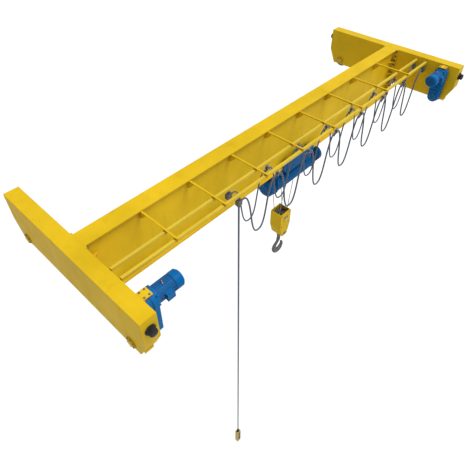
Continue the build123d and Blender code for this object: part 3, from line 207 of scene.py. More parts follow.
class Nodes:
    """The node tree of a material or a world, with short calls to add and join nodes."""

    def __init__(self, owner, shader):
        owner.use_nodes = True
        self.owner = owner
        self.tree = owner.node_tree
        self.shader = self.tree.nodes[shader]

    def add(self, kind, inputs=None, **settings):
        """A new node with its settings, and with its inputs fed."""
        node = self.tree.nodes.new(kind)
        for key, value in settings.items():
            setattr(node, key, value)
        for key, value in (inputs or {}).items():
            self.feed(node.inputs[key], value)
        return node

    def feed(self, socket, value):
        """Joins an output to a socket, or gives the socket a plain value."""
        if isinstance(value, bpy.types.NodeSocket):
            self.tree.links.new(value, socket)
        else:
            socket.default_value = value

    def set(self, **values):
        """Feeds the shader's inputs, written with underscores for spaces."""
        for key, value in values.items():
            self.feed(self.shader.inputs[key.replace("_", " ")], value)

    def place(self, stretch=(1.0, 1.0, 1.0)):
        """Object coordinates, stretched along the axes."""
        coordinates = self.add("ShaderNodeTexCoord")
        mapping = self.add("ShaderNodeMapping", {"Vector": coordinates.outputs["Object"],
                                                 "Scale": stretch})
        return mapping.outputs["Vector"]

    def noise(self, scale, detail=3.0, roughness=0.5, place=None):
        """Noise in object coordinates, or in other ones."""
        node = self.add("ShaderNodeTexNoise", {"Scale": scale, "Detail": detail,
                                               "Roughness": roughness,
                                               "Vector": place or self.place()})
        return node.outputs["Fac"]

    def ramp(self, value, low, high, start=0.0, end=1.0):
        """The value spread from one range to another, clamped."""
        node = self.add("ShaderNodeMapRange", {"Value": value, "From Min": low, "From Max": high,
                                               "To Min": start, "To Max": end})
        return node.outputs["Result"]

    def math(self, operation, first, second):
        node = self.add("ShaderNodeMath", {0: first, 1: second}, operation=operation)
        return node.outputs["Value"]

    def mix(self, amount, first, second):
        """A colour between two, the second one where the amount is one."""
        node = self.add("ShaderNodeMix", {"Factor": amount}, data_type="RGBA")
        colours = [socket for socket in node.inputs if socket.type == "RGBA"]
        for socket, value in zip(colours, (first, second)):
            self.feed(socket, value)
        return [socket for socket in node.outputs if socket.type == "RGBA"][0]

    def bump(self, height, strength, distance, normal=None):
        """A normal that follows a height, on top of another normal if one is given."""
        inputs = {"Height": height, "Strength": strength, "Distance": distance}
        if normal is not None:
            inputs["Normal"] = normal
        return self.add("ShaderNodeBump", inputs).outputs["Normal"]

    def openness(self, distance):
        """One on open faces, and less in corners; it sets where shade is painted into corners."""
        return self.add("ShaderNodeAmbientOcclusion", {"Distance": distance},
                        samples=6).outputs["AO"]

    def soft_edges(self, radius):
        """A normal that rounds sharp edges, and a mask that is one at them and zero on faces."""
        rounded = self.add("ShaderNodeBevel", {"Radius": radius}, samples=6).outputs["Normal"]
        flat = self.add("ShaderNodeNewGeometry").outputs["Normal"]
        turn = self.add("ShaderNodeVectorMath", {0: rounded, 1: flat}, operation="DOT_PRODUCT")
        return rounded, self.ramp(turn.outputs["Value"], low=0.995, high=0.90)

    def seen_directly(self):
        """One where the camera sees it, also in a reflection, and zero where it only lights."""
        path = self.add("ShaderNodeLightPath")
        return self.math("MAXIMUM", path.outputs["Is Camera Ray"], path.outputs["Is Glossy Ray"])


def new_material(name):
    """The nodes of a new material."""
    return Nodes(bpy.data.materials.new(name), "Principled BSDF")


# The colour that corners of paint darken towards: dust and painted shade
PAINT_DUST_AND_SHADE = colour(0.11, 0.075, 0.03)
PRIMER = (0.16, 0.13, 0.10)


def paint(name, base, roughness=0.5, wear=0.5, bare=PRIMER):
    """Sprayed enamel with orange peel, faded patches, dust and painted shade in corners, and chipped
    edges.
    """
    nodes = new_material(name)
    patches = nodes.noise(scale=1.1, detail=4.0, roughness=0.6)
    streaks = nodes.noise(scale=7.0, detail=5.0, roughness=0.65,
                          place=nodes.place((1.0, 1.0, 0.22)))
    tone = nodes.mix(nodes.ramp(patches, low=0.32, high=0.68), tinted(base, 0.86),
                     tinted(base, 1.05, 0.004))
    tone = nodes.mix(nodes.ramp(streaks, low=0.54, high=0.76, end=0.28), tone, tinted(base, 0.6))
    # Painted shade: corners found by the occlusion darken towards the dust colour
    corner_dust_and_shade = nodes.ramp(nodes.openness(0.09), low=0.82, high=0.28, end=0.5)
    tone = nodes.mix(corner_dust_and_shade, tone, PAINT_DUST_AND_SHADE)
    rounded, edges = nodes.soft_edges(0.005)
    flakes = nodes.ramp(nodes.noise(scale=46.0, detail=5.0, roughness=0.7), low=0.53, high=0.60)
    chips = nodes.math("MULTIPLY", nodes.math("MULTIPLY", edges, flakes), wear)
    peel = nodes.noise(scale=420.0, detail=2.0)
    ripple = nodes.noise(scale=3.2, detail=2.0)
    normal = nodes.bump(peel, strength=0.10, distance=0.0006, normal=rounded)
    normal = nodes.bump(ripple, strength=0.16, distance=0.012, normal=normal)
    nodes.set(Base_Color=nodes.mix(chips, tone, colour(*bare)), Normal=normal,
              Roughness=nodes.ramp(streaks, low=0.3, high=0.7, start=roughness - 0.05,
                                   end=roughness + 0.10),
              Specular_IOR_Level=0.08)
    return nodes.owner


def cast_metal(name, base, roughness=0.5):
    """Dark cast or forged metal with a sandy skin and rubbed edges."""
    nodes = new_material(name)
    grain = nodes.noise(scale=210.0, detail=4.0, roughness=0.6)
    blotch = nodes.noise(scale=9.0, detail=4.0, roughness=0.6)
    tone = nodes.mix(nodes.ramp(blotch, low=0.35, high=0.65), colour(*base), tinted(base, 1.5))
    rounded, edges = nodes.soft_edges(0.004)
    tone = nodes.mix(nodes.math("MULTIPLY", edges, 0.55), tone, tinted(base, 3.2, 0.1))
    nodes.set(Base_Color=tone, Metallic=0.85,
              Normal=nodes.bump(grain, strength=0.35, distance=0.0012, normal=rounded),
              Roughness=nodes.ramp(blotch, low=0.3, high=0.7, start=roughness - 0.08,
                                   end=roughness + 0.12))
    return nodes.owner


def machined_metal(name, base, stretch=(1.0, 1.0, 1.0), roughness=0.3):
    """Turned or zinc-coated steel with fine tool marks and soft spangle."""
    nodes = new_material(name)
    lines = nodes.noise(scale=160.0, detail=3.0, roughness=0.6, place=nodes.place(stretch))
    spangle = nodes.noise(scale=30.0, detail=3.0, roughness=0.6)
    tone = nodes.mix(nodes.ramp(spangle, low=0.35, high=0.65), colour(*base), tinted(base, 0.78))
    nodes.set(Base_Color=tone, Metallic=0.9,
              Normal=nodes.bump(lines, strength=0.12, distance=0.0006),
              Roughness=nodes.ramp(spangle, low=0.3, high=0.7, start=roughness,
                                   end=roughness + 0.14))
    return nodes.owner


def rubber(name, base, roughness=0.62, sheen=0.1, dusty=0.02):
    """Moulded rubber or cable jacket with a dusty, faintly mottled skin."""
    nodes = new_material(name)
    dust = nodes.noise(scale=14.0, detail=4.0, roughness=0.65)
    fine = nodes.noise(scale=520.0, detail=2.0)
    tone = nodes.mix(nodes.ramp(dust, low=0.42, high=0.75, end=0.6), colour(*base),
                     tinted(base, 1.7, dusty))
    nodes.set(Base_Color=tone, Sheen_Weight=sheen, Specular_IOR_Level=0.3,
              Normal=nodes.bump(fine, strength=0.2, distance=0.0004),
              Roughness=nodes.ramp(dust, low=0.3, high=0.7, start=roughness - 0.1,
                                   end=roughness + 0.1))
    return nodes.owner


# The colour that corners of plastic darken towards: dust and painted shade
PLASTIC_DUST_AND_SHADE = colour(0.05, 0.04, 0.03)


def plastic(name, base, roughness=0.42):
    """Moulded plastic with a spark-eroded grain, and dust and painted shade in its corners."""
    nodes = new_material(name)
    grain = nodes.noise(scale=900.0, detail=2.0)
    tint = nodes.noise(scale=5.0)
    tone = nodes.mix(nodes.ramp(tint, low=0.35, high=0.65), colour(*base), tinted(base, 0.88))
    # Painted shade: corners found by the occlusion darken towards this colour
    corner_dust_and_shade = nodes.ramp(nodes.openness(0.02), low=0.8, high=0.3, end=0.45)
    nodes.set(Base_Color=nodes.mix(corner_dust_and_shade, tone, PLASTIC_DUST_AND_SHADE),
              Normal=nodes.bump(grain, strength=0.18, distance=0.0003),
              Roughness=nodes.ramp(tint, low=0.3, high=0.7, start=roughness - 0.05,
                                   end=roughness + 0.08))
    return nodes.owner


ROPE_GREY = (0.42, 0.41, 0.38)


def wire_rope(name, scale):
    """Greased steel rope, with the strands or the wires as slanting bands."""
    nodes = new_material(name)
    wave = nodes.add("ShaderNodeTexWave", {"Vector": nodes.place(), "Scale": scale},
                     wave_type="BANDS", bands_direction="DIAGONAL")
    bands = wave.outputs["Fac"]
    grease = nodes.noise(scale=60.0)
    tone = nodes.mix(nodes.ramp(bands, low=0.1, high=0.6), tinted(ROPE_GREY, 0.25),
                     colour(*ROPE_GREY))
    nodes.set(Base_Color=tone, Metallic=0.7,
              Normal=nodes.bump(bands, strength=0.8, distance=0.003),
              Roughness=nodes.ramp(grease, low=0.3, high=0.7, start=0.32, end=0.5))
    return nodes.owner


YELLOW = (0.90, 0.59, 0.012)
RAIL_YELLOW = (0.86, 0.62, 0.05)
BLUE = (0.0, 0.16, 0.47)
# A darker copy of BLUE for the hoist's parts: painted shade
SHADED_HOIST_BLUE = (0.0, 0.115, 0.35)
WORN_BLUE = (0.05, 0.07, 0.12)
MATERIALS = {
    "crane_yellow": paint("crane_yellow_paint", YELLOW),
    "drive_blue": paint("drive_blue_paint", BLUE, roughness=0.44, wear=0.35, bare=WORN_BLUE),
    "hoist_blue": paint("hoist_blue_paint_with_painted_shade", SHADED_HOIST_BLUE, roughness=0.46, wear=0.35,
                        bare=WORN_BLUE),
    "dark_steel": cast_metal("dark_cast_steel", (0.095, 0.09, 0.095)),
    "bright_steel": machined_metal("turned_steel", (0.5, 0.5, 0.51), stretch=(0.2, 1.0, 1.0)),
    "rubber_black": rubber("moulded_rubber", (0.010, 0.0095, 0.009), roughness=0.66, sheen=0.04,
                           dusty=0.008),
    "cable_jacket": rubber("cable_jacket", (0.095, 0.12, 0.17), roughness=0.5),
    "rope_steel": wire_rope("greased_wire_rope", scale=24.0),
    "pendant_yellow": plastic("pendant_plastic", (0.55, 0.40, 0.05)),
    "box_grey": plastic("box_plastic", (0.09, 0.095, 0.10)),
    "button_red": plastic("stop_button_plastic", (0.55, 0.012, 0.01), roughness=0.3),
    "rail_yellow": paint("rail_paint", RAIL_YELLOW, roughness=0.42, wear=0.6),
    "galvanised": machined_metal("zinc_coated_steel", (0.20, 0.20, 0.21)),
}


# Look of the CAD solids

# Corners that are nearer than this, in metres, are joined
WELD_DISTANCE = 0.00002
# Edges stay sharp where faces meet at more than this, in degrees
SOLID_CREASE = 28


def dress(obj, material):
    """Gives an object one material."""
    obj.data.materials.clear()
    obj.data.materials.append(material)


def crisp_edges(obj, angle):
    """Smooth shading that stays sharp where faces meet at more than an angle in degrees."""
    split = obj.modifiers.new("crisp edges", "EDGE_SPLIT")
    split.split_angle = math.radians(angle)
    obj.data.shade_smooth()


def dress_solids():
    """Gives every CAD node its slot's material and smooth curved faces."""
    for subpart in frame["record"]["subparts"]:
        node = NODES[subpart["node"]]
        dress(node, MATERIALS[subpart["material_slot"]])
        weld = node.modifiers.new("joined corners", "WELD")
        weld.merge_threshold = WELD_DISTANCE
        crisp_edges(node, SOLID_CREASE)


# Cables

LOOP_SHOULDER = 0.07
# One side of a loop: shares of the loop's pitch and of its depth, from the saddle downwards
LOOP_SIDE = [(0.15, 0.05), (0.225, 0.26), (0.27, 0.50), (0.31, 0.74), (0.36, 0.90), (0.43, 1.0)]
PENDANT_END_RUN = 0.12


def cable(name, node, points, diameter):
    """A free cable on one smooth line that follows a route's control points."""
    curve = bpy.data.curves.new(name, "CURVE")
    curve.dimensions = "3D"
    curve.bevel_depth = diameter / 2
    curve.bevel_resolution = 5
    curve.resolution_u = 10
    curve.use_fill_caps = True
    spline = curve.splines.new("NURBS")
    spline.points.add(len(points) - 1)
    for point, place in zip(spline.points, points):
        point.co = (*place, 1.0)
    spline.order_u = 3
    spline.use_endpoint_u = True
    obj = bpy.data.objects.new(name, curve)
    bpy.context.scene.collection.objects.link(obj)
    curve.materials.append(MATERIALS["cable_jacket"])
    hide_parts(node)
    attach(obj, "bridge")
    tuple(points[0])


def loop_points(offset, depths):
    """The route of one looped cable, from its right end to its left end."""
    points = [(LOOP_START, -offset, SADDLE_TOP)]
    for n, depth in enumerate(depths):
        start = LOOP_START - n * LOOP_PITCH
        points.append((start - LOOP_SHOULDER * LOOP_PITCH, -offset, SADDLE_TOP))
        for along, down in LOOP_SIDE:
            points.append((start - along * LOOP_PITCH, -offset, SADDLE_TOP - down * depth))
        for along, down in reversed(LOOP_SIDE):
            points.append((start - (1 - along) * LOOP_PITCH, -offset, SADDLE_TOP - down * depth))
        points.append((start - (1 - LOOP_SHOULDER) * LOOP_PITCH, -offset, SADDLE_TOP))
    points.append((PENDANT_X, -offset, SADDLE_TOP))
    return points


def looped_cables():
    """The two cables that hang in loops below their rails."""
    cable("outer_cable_line", "outer_looped_cable", loop_points(OUTER_RAIL, OUTER_DEPTHS),
          OUTER_CABLE)
    cable("inner_cable_line", "inner_looped_cable", loop_points(INNER_RAIL, INNER_DEPTHS),
          INNER_CABLE)


def pendant_cable():
    """The straight cable of the push-button station."""
    low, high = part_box("pendant_cable")
    x = (low.x + high.x) / 2
    y = (low.y + high.y) / 2
    levels = [high.z, high.z - PENDANT_END_RUN, (low.z + high.z) / 2, low.z + PENDANT_END_RUN,
              low.z]
    cable("pendant_cable_line", "pendant_cable", [(x, y, z) for z in levels], PENDANT_CABLE)


# Small forms, each as its points and faces

# Outlines as (radius, height), in shares of the thread size
WASHER_OUTLINE = [(0, 0), (1.1, 0), (1.1, 0.18), (0, 0.18)]
BOLT_HEAD_OUTLINE = [(0, 0.16), (0.9, 0.18), (0.9, 0.72), (0.74, 0.84), (0, 0.84)]
SCREW_OUTLINE = [(0, 0), (0.9, 0), (0.9, 0.5), (0.7, 0.75), (0.42, 0.75), (0.42, 0.4), (0, 0.4)]


def upright(axis):
    """The turn that brings Z to an axis."""
    return Vector(axis).to_track_quat("Z", "Y").to_matrix()


def spoke(radius, turn):
    """The way from the middle of a circle about Z to a place on it."""
    return Vector((radius * math.cos(turn), radius * math.sin(turn), 0))


def turned(outline, count, scale=1.0):
    """A turned form about Z from (radius, height) points, closed where the radius is 0."""
    points = []
    rings = []
    for radius, height in outline:
        if radius == 0:
            rings.append([len(points)] * count)
            points.append((0.0, 0.0, scale * height))
            continue
        rings.append([len(points) + n for n in range(count)])
        for n in range(count):
            x, y, _ = spoke(scale * radius, 2 * math.pi * n / count)
            points.append((x, y, scale * height))
    faces = []
    for low, high in zip(rings, rings[1:]):
        for n in range(count):
            m = (n + 1) % count
            face = list(dict.fromkeys((low[n], low[m], high[m], high[n])))
            if len(face) > 2:
                faces.append(face)
    return points, faces


def joined(*forms):
    """Several forms in one."""
    points = []
    faces = []
    for form_points, form_faces in forms:
        start = len(points)
        points.extend(form_points)
        faces.extend([[start + corner for corner in face] for face in form_faces])
    return points, faces


def bolt(size):
    """A hexagon bolt of a given thread size on its washer, standing on Z = 0."""
    return joined(turned(WASHER_OUTLINE, count=18, scale=size),
                  turned(BOLT_HEAD_OUTLINE, count=6, scale=size))


def screw(size):
    """A round-headed screw with a recess, standing on Z = 0."""
    return turned(SCREW_OUTLINE, count=12, scale=size)


def bar(length, width, height, edge):
    """A chamfered bar about the origin, lying along X."""
    points = []
    outline = [(1, -1), (1, 1), (-1, 1), (-1, -1)]
    for x, inset in ((-length / 2, edge), (edge - length / 2, 0), (length / 2 - edge, 0),
                     (length / 2, edge)):
        for a, b in outline:
            y = a * (width / 2 - inset)
            z = b * (height / 2 - inset)
            points.append((x, y - a * edge, z))
            points.append((x, y, z - b * edge))
    corners = 2 * len(outline)
    last = len(points) - corners
    faces = [list(range(corners - 1, -1, -1)), list(range(last, len(points)))]
    for start in range(0, last, corners):
        for n in range(corners):
            m = (n + 1) % corners
            faces.append([start + n, start + m, start + corners + m, start + corners + n])
    return points, faces


def tube(places, radii, count):
    """A closed tube through places, with its own radius at each."""
    points = []
    for n, (place, radius) in enumerate(zip(places, radii)):
        before = places[max(0, n - 1)]
        after = places[min(len(places) - 1, n + 1)]
        turn = upright(after - before)
        for k in range(count):
            points.append(tuple(place + turn @ spoke(radius, 2 * math.pi * k / count)))
    last = len(places) - 1
    faces = [list(range(count - 1, -1, -1)), [count * last + k for k in range(count)]]
    for n in range(last):
        for k in range(count):
            m = (k + 1) % count
            faces.append([count * n + k, count * n + m, count * n + count + m,
                          count * n + count + k])
    return points, faces


def ring(radius, wire_radius, count=32, wire_count=6):
    """A ring of round wire about Z."""
    points = []
    for n in range(count):
        for k in range(wire_count):
            out = spoke(wire_radius, 2 * math.pi * k / wire_count)
            x, y, _ = spoke(radius + out.x, 2 * math.pi * n / count)
            points.append((x, y, out.y))
    faces = []
    for n in range(count):
        m = (n + 1) % count
        for k in range(wire_count):
            j = (k + 1) % wire_count
            faces.append([wire_count * n + k, wire_count * m + k, wire_count * m + j,
                          wire_count * n + j])
    return points, faces


# Two waves along a weld bead: share of its radius, and turn in radians from place to place
RIPPLE_SHARE = 0.16
RIPPLE_TURN = 2.1
SWELL_SHARE = 0.07
SWELL_TURN = 0.37


def weld_bead(start, end, radius=0.004, step=0.008):
    """A rippled bead along a corner, half sunk in both plates."""
    start = Vector(start)
    end = Vector(end)
    count = int((end - start).length / step)
    places = [start.lerp(end, n / count) for n in range(count + 1)]
    radii = [radius * (1.0 + RIPPLE_SHARE * math.sin(RIPPLE_TURN * n)
                       + SWELL_SHARE * math.sin(SWELL_TURN * n))
             for n in range(count + 1)]
    return tube(places, radii, count=6)


def standing(place, axis, spin=0.0):
    """The placement that turns Z to an axis at a place."""
    return Matrix.Translation(place) @ upright(axis).to_4x4() @ Matrix.Rotation(spin, 4, "Z")


def around(centre, axis, radius, count, start=0.0):
    """Places on a circle about an axis."""
    for n in range(count):
        yield Vector(centre) + upright(axis) @ spoke(radius, start + 2 * math.pi * n / count)


# Crease angles in degrees, of forms with flat faces and of round ones
FORM_CREASE = 35
ROUND_CREASE = 60


class Piece:
    """One scene piece made of many placed forms, riding on a CAD body if it has one."""

    def __init__(self, name, body, slot, material=None):
        self.name = name
        self.body = body
        self.slot = slot
        self.material = material or MATERIALS[slot]
        self.forms = []

    def add(self, form, placement=Matrix.Identity(4)):
        points, faces = form
        self.forms.append(([tuple(placement @ Vector(point)) for point in points], faces))

    def build(self, crease=FORM_CREASE):
        points, faces = joined(*self.forms)
        mesh = bpy.data.meshes.new(self.name)
        mesh.from_pydata(points, [], faces)
        work = bmesh.new()
        work.from_mesh(mesh)
        bmesh.ops.recalc_face_normals(work, faces=work.faces)
        work.to_mesh(mesh)
        work.free()
        obj = bpy.data.objects.new(self.name, mesh)
        bpy.context.scene.collection.objects.link(obj)
        crisp_edges(obj, crease)
        dress(obj, self.material)
        if self.body:
            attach(obj, self.body)
        return obj


# Fasteners and welds of the bridge

BEARING_BOLT = 0.012
BEARING_BOLT_CIRCLE = 0.062
BUFFER_BOLT = 0.006
BUFFER_BOLT_CIRCLE = 0.0615
# Where a circle of bolts starts, in radians; four bolts from the second start stand square
BEARING_BOLT_START = 0.5
SQUARE_START = 0.785
TORQUE_BOLT = 0.012
TORQUE_BOLT_ROWS = (0.035, 0.1)
TORQUE_BOLT_HALF_PITCH = 0.045
JOINT_BOLT = 0.020
JOINT_BOLT_COUNT = 11
JOINT_BOLT_MARGIN = 0.05
JOINT_BOLT_OFFSET = 0.135


def carriage_bolts():
    """Bolts on bearing caps, buffer bases, torque plates and the girder's end plates."""
    piece = Piece("carriage_bolts", "bridge", "galvanised")
    for side, end in CORNERS:
        for out in SIDES:
            centre = (side * CARRIAGE_X + out * (CARRIAGE_FACE + BEARING_RIM_HEIGHT),
                      end * WHEEL_Y, WHEEL_Z)
            for place in around(centre, (out, 0, 0), BEARING_BOLT_CIRCLE, 6, BEARING_BOLT_START):
                piece.add(bolt(BEARING_BOLT), standing(place, (out, 0, 0)))
        centre = (side * CARRIAGE_X, end * (CARRIAGE_END + BUFFER_BASE_THICKNESS), BUFFER_LEVEL)
        for place in around(centre, (0, end, 0), BUFFER_BOLT_CIRCLE, 4, SQUARE_START):
            piece.add(bolt(BUFFER_BOLT), standing(place, (0, end, 0)))
    for side, sign in CORNERS:
        for reach in TORQUE_BOLT_ROWS:
            place = (side * (INNER_FACE - reach), sign * TORQUE_BOLT_HALF_PITCH - WHEEL_Y,
                     TOP_LEVEL - TORQUE_PLATE_DROP)
            piece.add(bolt(TORQUE_BOLT), standing(place, (0, 0, 1)))
    row = GIRDER_DEPTH - 2 * JOINT_BOLT_MARGIN
    for side, sign in CORNERS:
        for n in range(JOINT_BOLT_COUNT):
            z = GIRDER_BOTTOM + JOINT_BOLT_MARGIN + n * row / (JOINT_BOLT_COUNT - 1)
            place = (side * GIRDER_HALF, sign * JOINT_BOLT_OFFSET, z)
            piece.add(bolt(JOINT_BOLT), standing(place, (-side, 0, 0)))
    piece.build()


RIM_BOLT = 0.0046
RIM_ARC_COUNT = 9
RIM_SIDE_COUNT = 4
COVER_BOLT = 0.008
COVER_BOLT_CIRCLE = 0.052


def gearbox_bolts():
    """Bolts round the travel gearboxes' joint and covers."""
    piece = Piece("gearbox_bolts", "bridge", "galvanised")
    rim = bolt(RIM_BOLT)
    low_radius = GEARBOX_LOW_RADIUS + GEARBOX_RIM / 2
    high_radius = GEARBOX_HIGH_RADIUS + GEARBOX_RIM / 2
    for side in SIDES:
        axis = (-side, 0, 0)
        x = side * GEARBOX_RIM_FACE
        for n in range(RIM_ARC_COUNT):
            turn = math.pi * n / (RIM_ARC_COUNT - 1)
            low = spoke(low_radius, -turn)
            high = spoke(high_radius, turn)
            piece.add(rim, standing((x, low.x - WHEEL_Y, WHEEL_Z + low.y), axis))
            piece.add(rim, standing((x, high.x - WHEEL_Y, MOTOR_Z + high.y), axis))
        for n in range(1, RIM_SIDE_COUNT + 1):
            share = n / (RIM_SIDE_COUNT + 1)
            reach = low_radius + (high_radius - low_radius) * share
            z = WHEEL_Z + (MOTOR_Z - WHEEL_Z) * share
            for sign in SIDES:
                piece.add(rim, standing((x, sign * reach - WHEEL_Y, z), axis))
        centre = (side * (GEARBOX_END - GEARBOX_COVER_THICKNESS), -WHEEL_Y, WHEEL_Z)
        for place in around(centre, axis, COVER_BOLT_CIRCLE, 8):
            piece.add(bolt(COVER_BOLT), standing(place, axis))
    piece.build()


def girder_welds():
    """Long beads where the webs meet both flanges and the end plates."""
    piece = Piece("girder_welds", "bridge", "crane_yellow")
    for sign in SIDES:
        y = sign * WEB_FACE
        for z in (FLANGE_TOP, ARM_LEVEL):
            piece.add(weld_bead((-GIRDER_HALF, y, z), (GIRDER_HALF, y, z)))
        for side in SIDES:
            x = side * GIRDER_HALF
            piece.add(weld_bead((x, y, FLANGE_TOP), (x, y, ARM_LEVEL)))
    piece.build(ROUND_CREASE)


CLIP_BOLT = 0.006
CLIP_BOLT_DROP = 0.016
ARM_WELD_SPACING = 0.002
ARM_WELD_RADIUS = 0.003
ARM_WELD_STEP = 0.006


def arm_trim():
    """Bolts through the rail clips and beads where the arms meet the web."""
    bolts = Piece("rail_clip_bolts", "bridge", "galvanised")
    beads = Piece("arm_welds", "bridge", "crane_yellow")
    clip_face = RAIL_SIZE / 2 + CLIP_THICKNESS + FIT_GAP
    for n in range(ARM_COUNT):
        arm_x = -ARM_REACH + 2 * ARM_REACH * n / (ARM_COUNT - 1)
        for offset in (INNER_RAIL, OUTER_RAIL):
            for sign in SIDES:
                place = (arm_x, sign * clip_face - offset, RAIL_TOP - CLIP_BOLT_DROP)
                bolts.add(bolt(CLIP_BOLT), standing(place, (0, sign, 0)))
        for side in SIDES:
            x = arm_x + side * ARM_WELD_SPACING
            beads.add(weld_bead((x, -WEB_FACE, RAIL_TOP - GUSSET_SIZE), (x, -WEB_FACE, ARM_LEVEL),
                                ARM_WELD_RADIUS, ARM_WELD_STEP))
    bolts.build()
    beads.build(ROUND_CREASE)


CLAMP_BOLT = 0.0045
CLAMP_BOLT_RISE = 0.007
CLAMP_BOLT_HALF_PITCH = 0.009


def carrier_bolts():
    """Clamp bolts on both straps of every cable carrier."""
    piece = Piece("carrier_bolts", "bridge", "galvanised")
    for n in range(1, LOOP_COUNT):
        x = LOOP_START - n * LOOP_PITCH
        for offset, diameter in ((OUTER_RAIL, OUTER_CABLE), (INNER_RAIL, INNER_CABLE)):
            z = SADDLE_TOP + diameter / 2 + CLAMP_BOLT_RISE
            for end, sign in CORNERS:
                place = (x + end * CLAMP_BOLT_HALF_PITCH, sign * SADDLE_WIDTH / 2 - offset, z)
                piece.add(bolt(CLAMP_BOLT), standing(place, (0, sign, 0)))
    piece.build()


BOX_SCREW = 0.004
BOX_SCREW_INSET = 0.014


def box_screws():
    """Lid screws on the cable boxes and end carriers."""
    piece = Piece("cable_box_screws", "bridge", "galvanised")
    insets = (BOX_SCREW_INSET, CABLE_BOX_LENGTH - BOX_SCREW_INSET)
    for start in (LOOP_START + CABLE_BOX_GAP, PENDANT_X - CABLE_BOX_GAP - CABLE_BOX_LENGTH):
        for offset in (OUTER_RAIL, INNER_RAIL):
            for along in insets:
                for up in insets:
                    for sign in SIDES:
                        place = (start + along, sign * CABLE_BOX_WIDTH / 2 - offset,
                                 SADDLE_TOP - CABLE_BOX_SINK + up)
                        piece.add(screw(BOX_SCREW), standing(place, (0, sign, 0)))
    piece.build()


# Trim of the motors

Motor = namedtuple("Motor", "name body slot start out y z radius length box_side")

# Sizes on a travel motor; the ears, their bolts and the grille scale with a motor's radius
EAR_COUNT = 4
EAR_SIZE = (0.018, 0.042, 0.042, 0.003)
EAR_SETBACK = 0.010
EAR_CIRCLE = 1.02
EAR_BOLT = 0.010
EAR_BOLT_RISE = 0.009
# The fan cowl's openings are black rings and bars: painted shade
GRILLE_RINGS = (0.10, 0.16, 0.22)
GRILLE_WIRE = 0.0022
GRILLE_RISE = 0.0005
FAN_SLOT_COUNT = 28
FAN_SLOT_ROWS = (0.45, 0.72)
FAN_SLOT_SIZE = (0.016, 0.005)
FAN_SLOT_THICKNESS = 0.004
FAN_SLOT_EDGE = 0.0008
# The cowl's end slopes from its flat middle outwards, in shares of the radius and the cowl
COWL_FLAT = 0.30
COWL_SLOPE_RUN = 0.48
COWL_SLOPE_DEPTH = 0.04
LID_PLACE = 0.38
LID_SIZE = (0.108, 0.008, 0.108, 0.003)
LID_SEAT = 0.89
LID_RISE = 0.001
LID_SCREW = 0.005
LID_SCREW_REACH = 0.043
LID_SCREW_RISE = 0.005
GLAND_OUTLINE = [(0, 0), (0.015, 0), (0.015, 0.012), (0.012, 0.014), (0.012, 0.024),
                 (0.008, 0.030), (0, 0.030)]
GLAND_DROP = 0.05
GLAND_SETBACK = 0.022
EYE_BASE_OUTLINE = [(0, 0), (0.014, 0), (0.014, 0.006), (0.008, 0.010), (0, 0.010)]
EYE_RADIUS = 0.014
EYE_WIRE = 0.0045
EYE_RISE = 0.012


def motor_ears(motor, ears, metal):
    """Four mounting ears with their bolts."""
    scale = motor.radius / MOTOR_RADIUS
    axis = (motor.out, 0, 0)
    length, width, height, edge = EAR_SIZE
    centre = (motor.start + motor.out * EAR_SETBACK, motor.y, motor.z)
    for place in around(centre, axis, EAR_CIRCLE * motor.radius, EAR_COUNT, math.pi / 4):
        outwards = place - Vector((place.x, motor.y, motor.z))
        turn = outwards.to_track_quat("Z", "X").to_matrix().to_4x4()
        ears.add(bar(length, scale * width, scale * height, edge),
                 Matrix.Translation(place) @ turn)
        metal.add(bolt(scale * EAR_BOLT),
                  standing(place + Vector((motor.out * EAR_BOLT_RISE, 0, 0)), axis))


def fan_grille(motor, dark):
    """Black rings on the fan cowl's flat middle and two rows of black slots on its slope, as painted
    shade of the cowl's openings.
    """
    scale = motor.radius / MOTOR_RADIUS
    end = motor.start + motor.out * (motor.length + GRILLE_RISE)
    face = standing((end, motor.y, motor.z), (motor.out, 0, 0))
    for share in GRILLE_RINGS:
        dark.add(ring(share * motor.radius, scale * GRILLE_WIRE), face)
    cowl = MOTOR_COWL_SHARE * motor.length
    width, height = FAN_SLOT_SIZE
    slot = bar(FAN_SLOT_THICKNESS, scale * width, scale * height, FAN_SLOT_EDGE)
    for n in range(FAN_SLOT_COUNT):
        turn = 2 * math.pi * n / FAN_SLOT_COUNT
        for share in FAN_SLOT_ROWS:
            out = spoke(share * motor.radius, turn)
            depth = (share - COWL_FLAT) / COWL_SLOPE_RUN * COWL_SLOPE_DEPTH * cowl
            place = (end - motor.out * depth, motor.y + out.x, motor.z + out.y)
            dark.add(slot, Matrix.Translation(place) @ Matrix.Rotation(turn, 4, "X"))


def terminal_box_trim(motor, ears, metal, dark):
    """The terminal box's lid with four screws, and a cable gland below the box."""
    x = motor.start + motor.out * LID_PLACE * motor.length
    out = motor.box_side
    y = motor.y + out * (LID_SEAT * motor.radius + TERMINAL_BOX_HEIGHT)
    ears.add(bar(*LID_SIZE), Matrix.Translation((x, y + out * LID_RISE, motor.z)))
    for end, up in CORNERS:
        place = (x + end * LID_SCREW_REACH, y + out * LID_SCREW_RISE,
                 motor.z + up * LID_SCREW_REACH)
        metal.add(screw(LID_SCREW), standing(place, (0, out, 0)))
    dark.add(turned(GLAND_OUTLINE, count=6),
             standing((x, y - out * GLAND_SETBACK, motor.z - GLAND_DROP), (0, 0, -1)))


def lifting_eye(motor, metal):
    """An eye bolt on top of the motor."""
    x = motor.start + motor.out * LID_PLACE * motor.length
    top = motor.z + motor.radius
    metal.add(turned(EYE_BASE_OUTLINE, count=16),
              Matrix.Translation((x, motor.y, top - EYE_RISE)))
    metal.add(ring(EYE_RADIUS, EYE_WIRE, count=24),
              standing((x, motor.y, top + EYE_RISE), (0, 1, 0)))


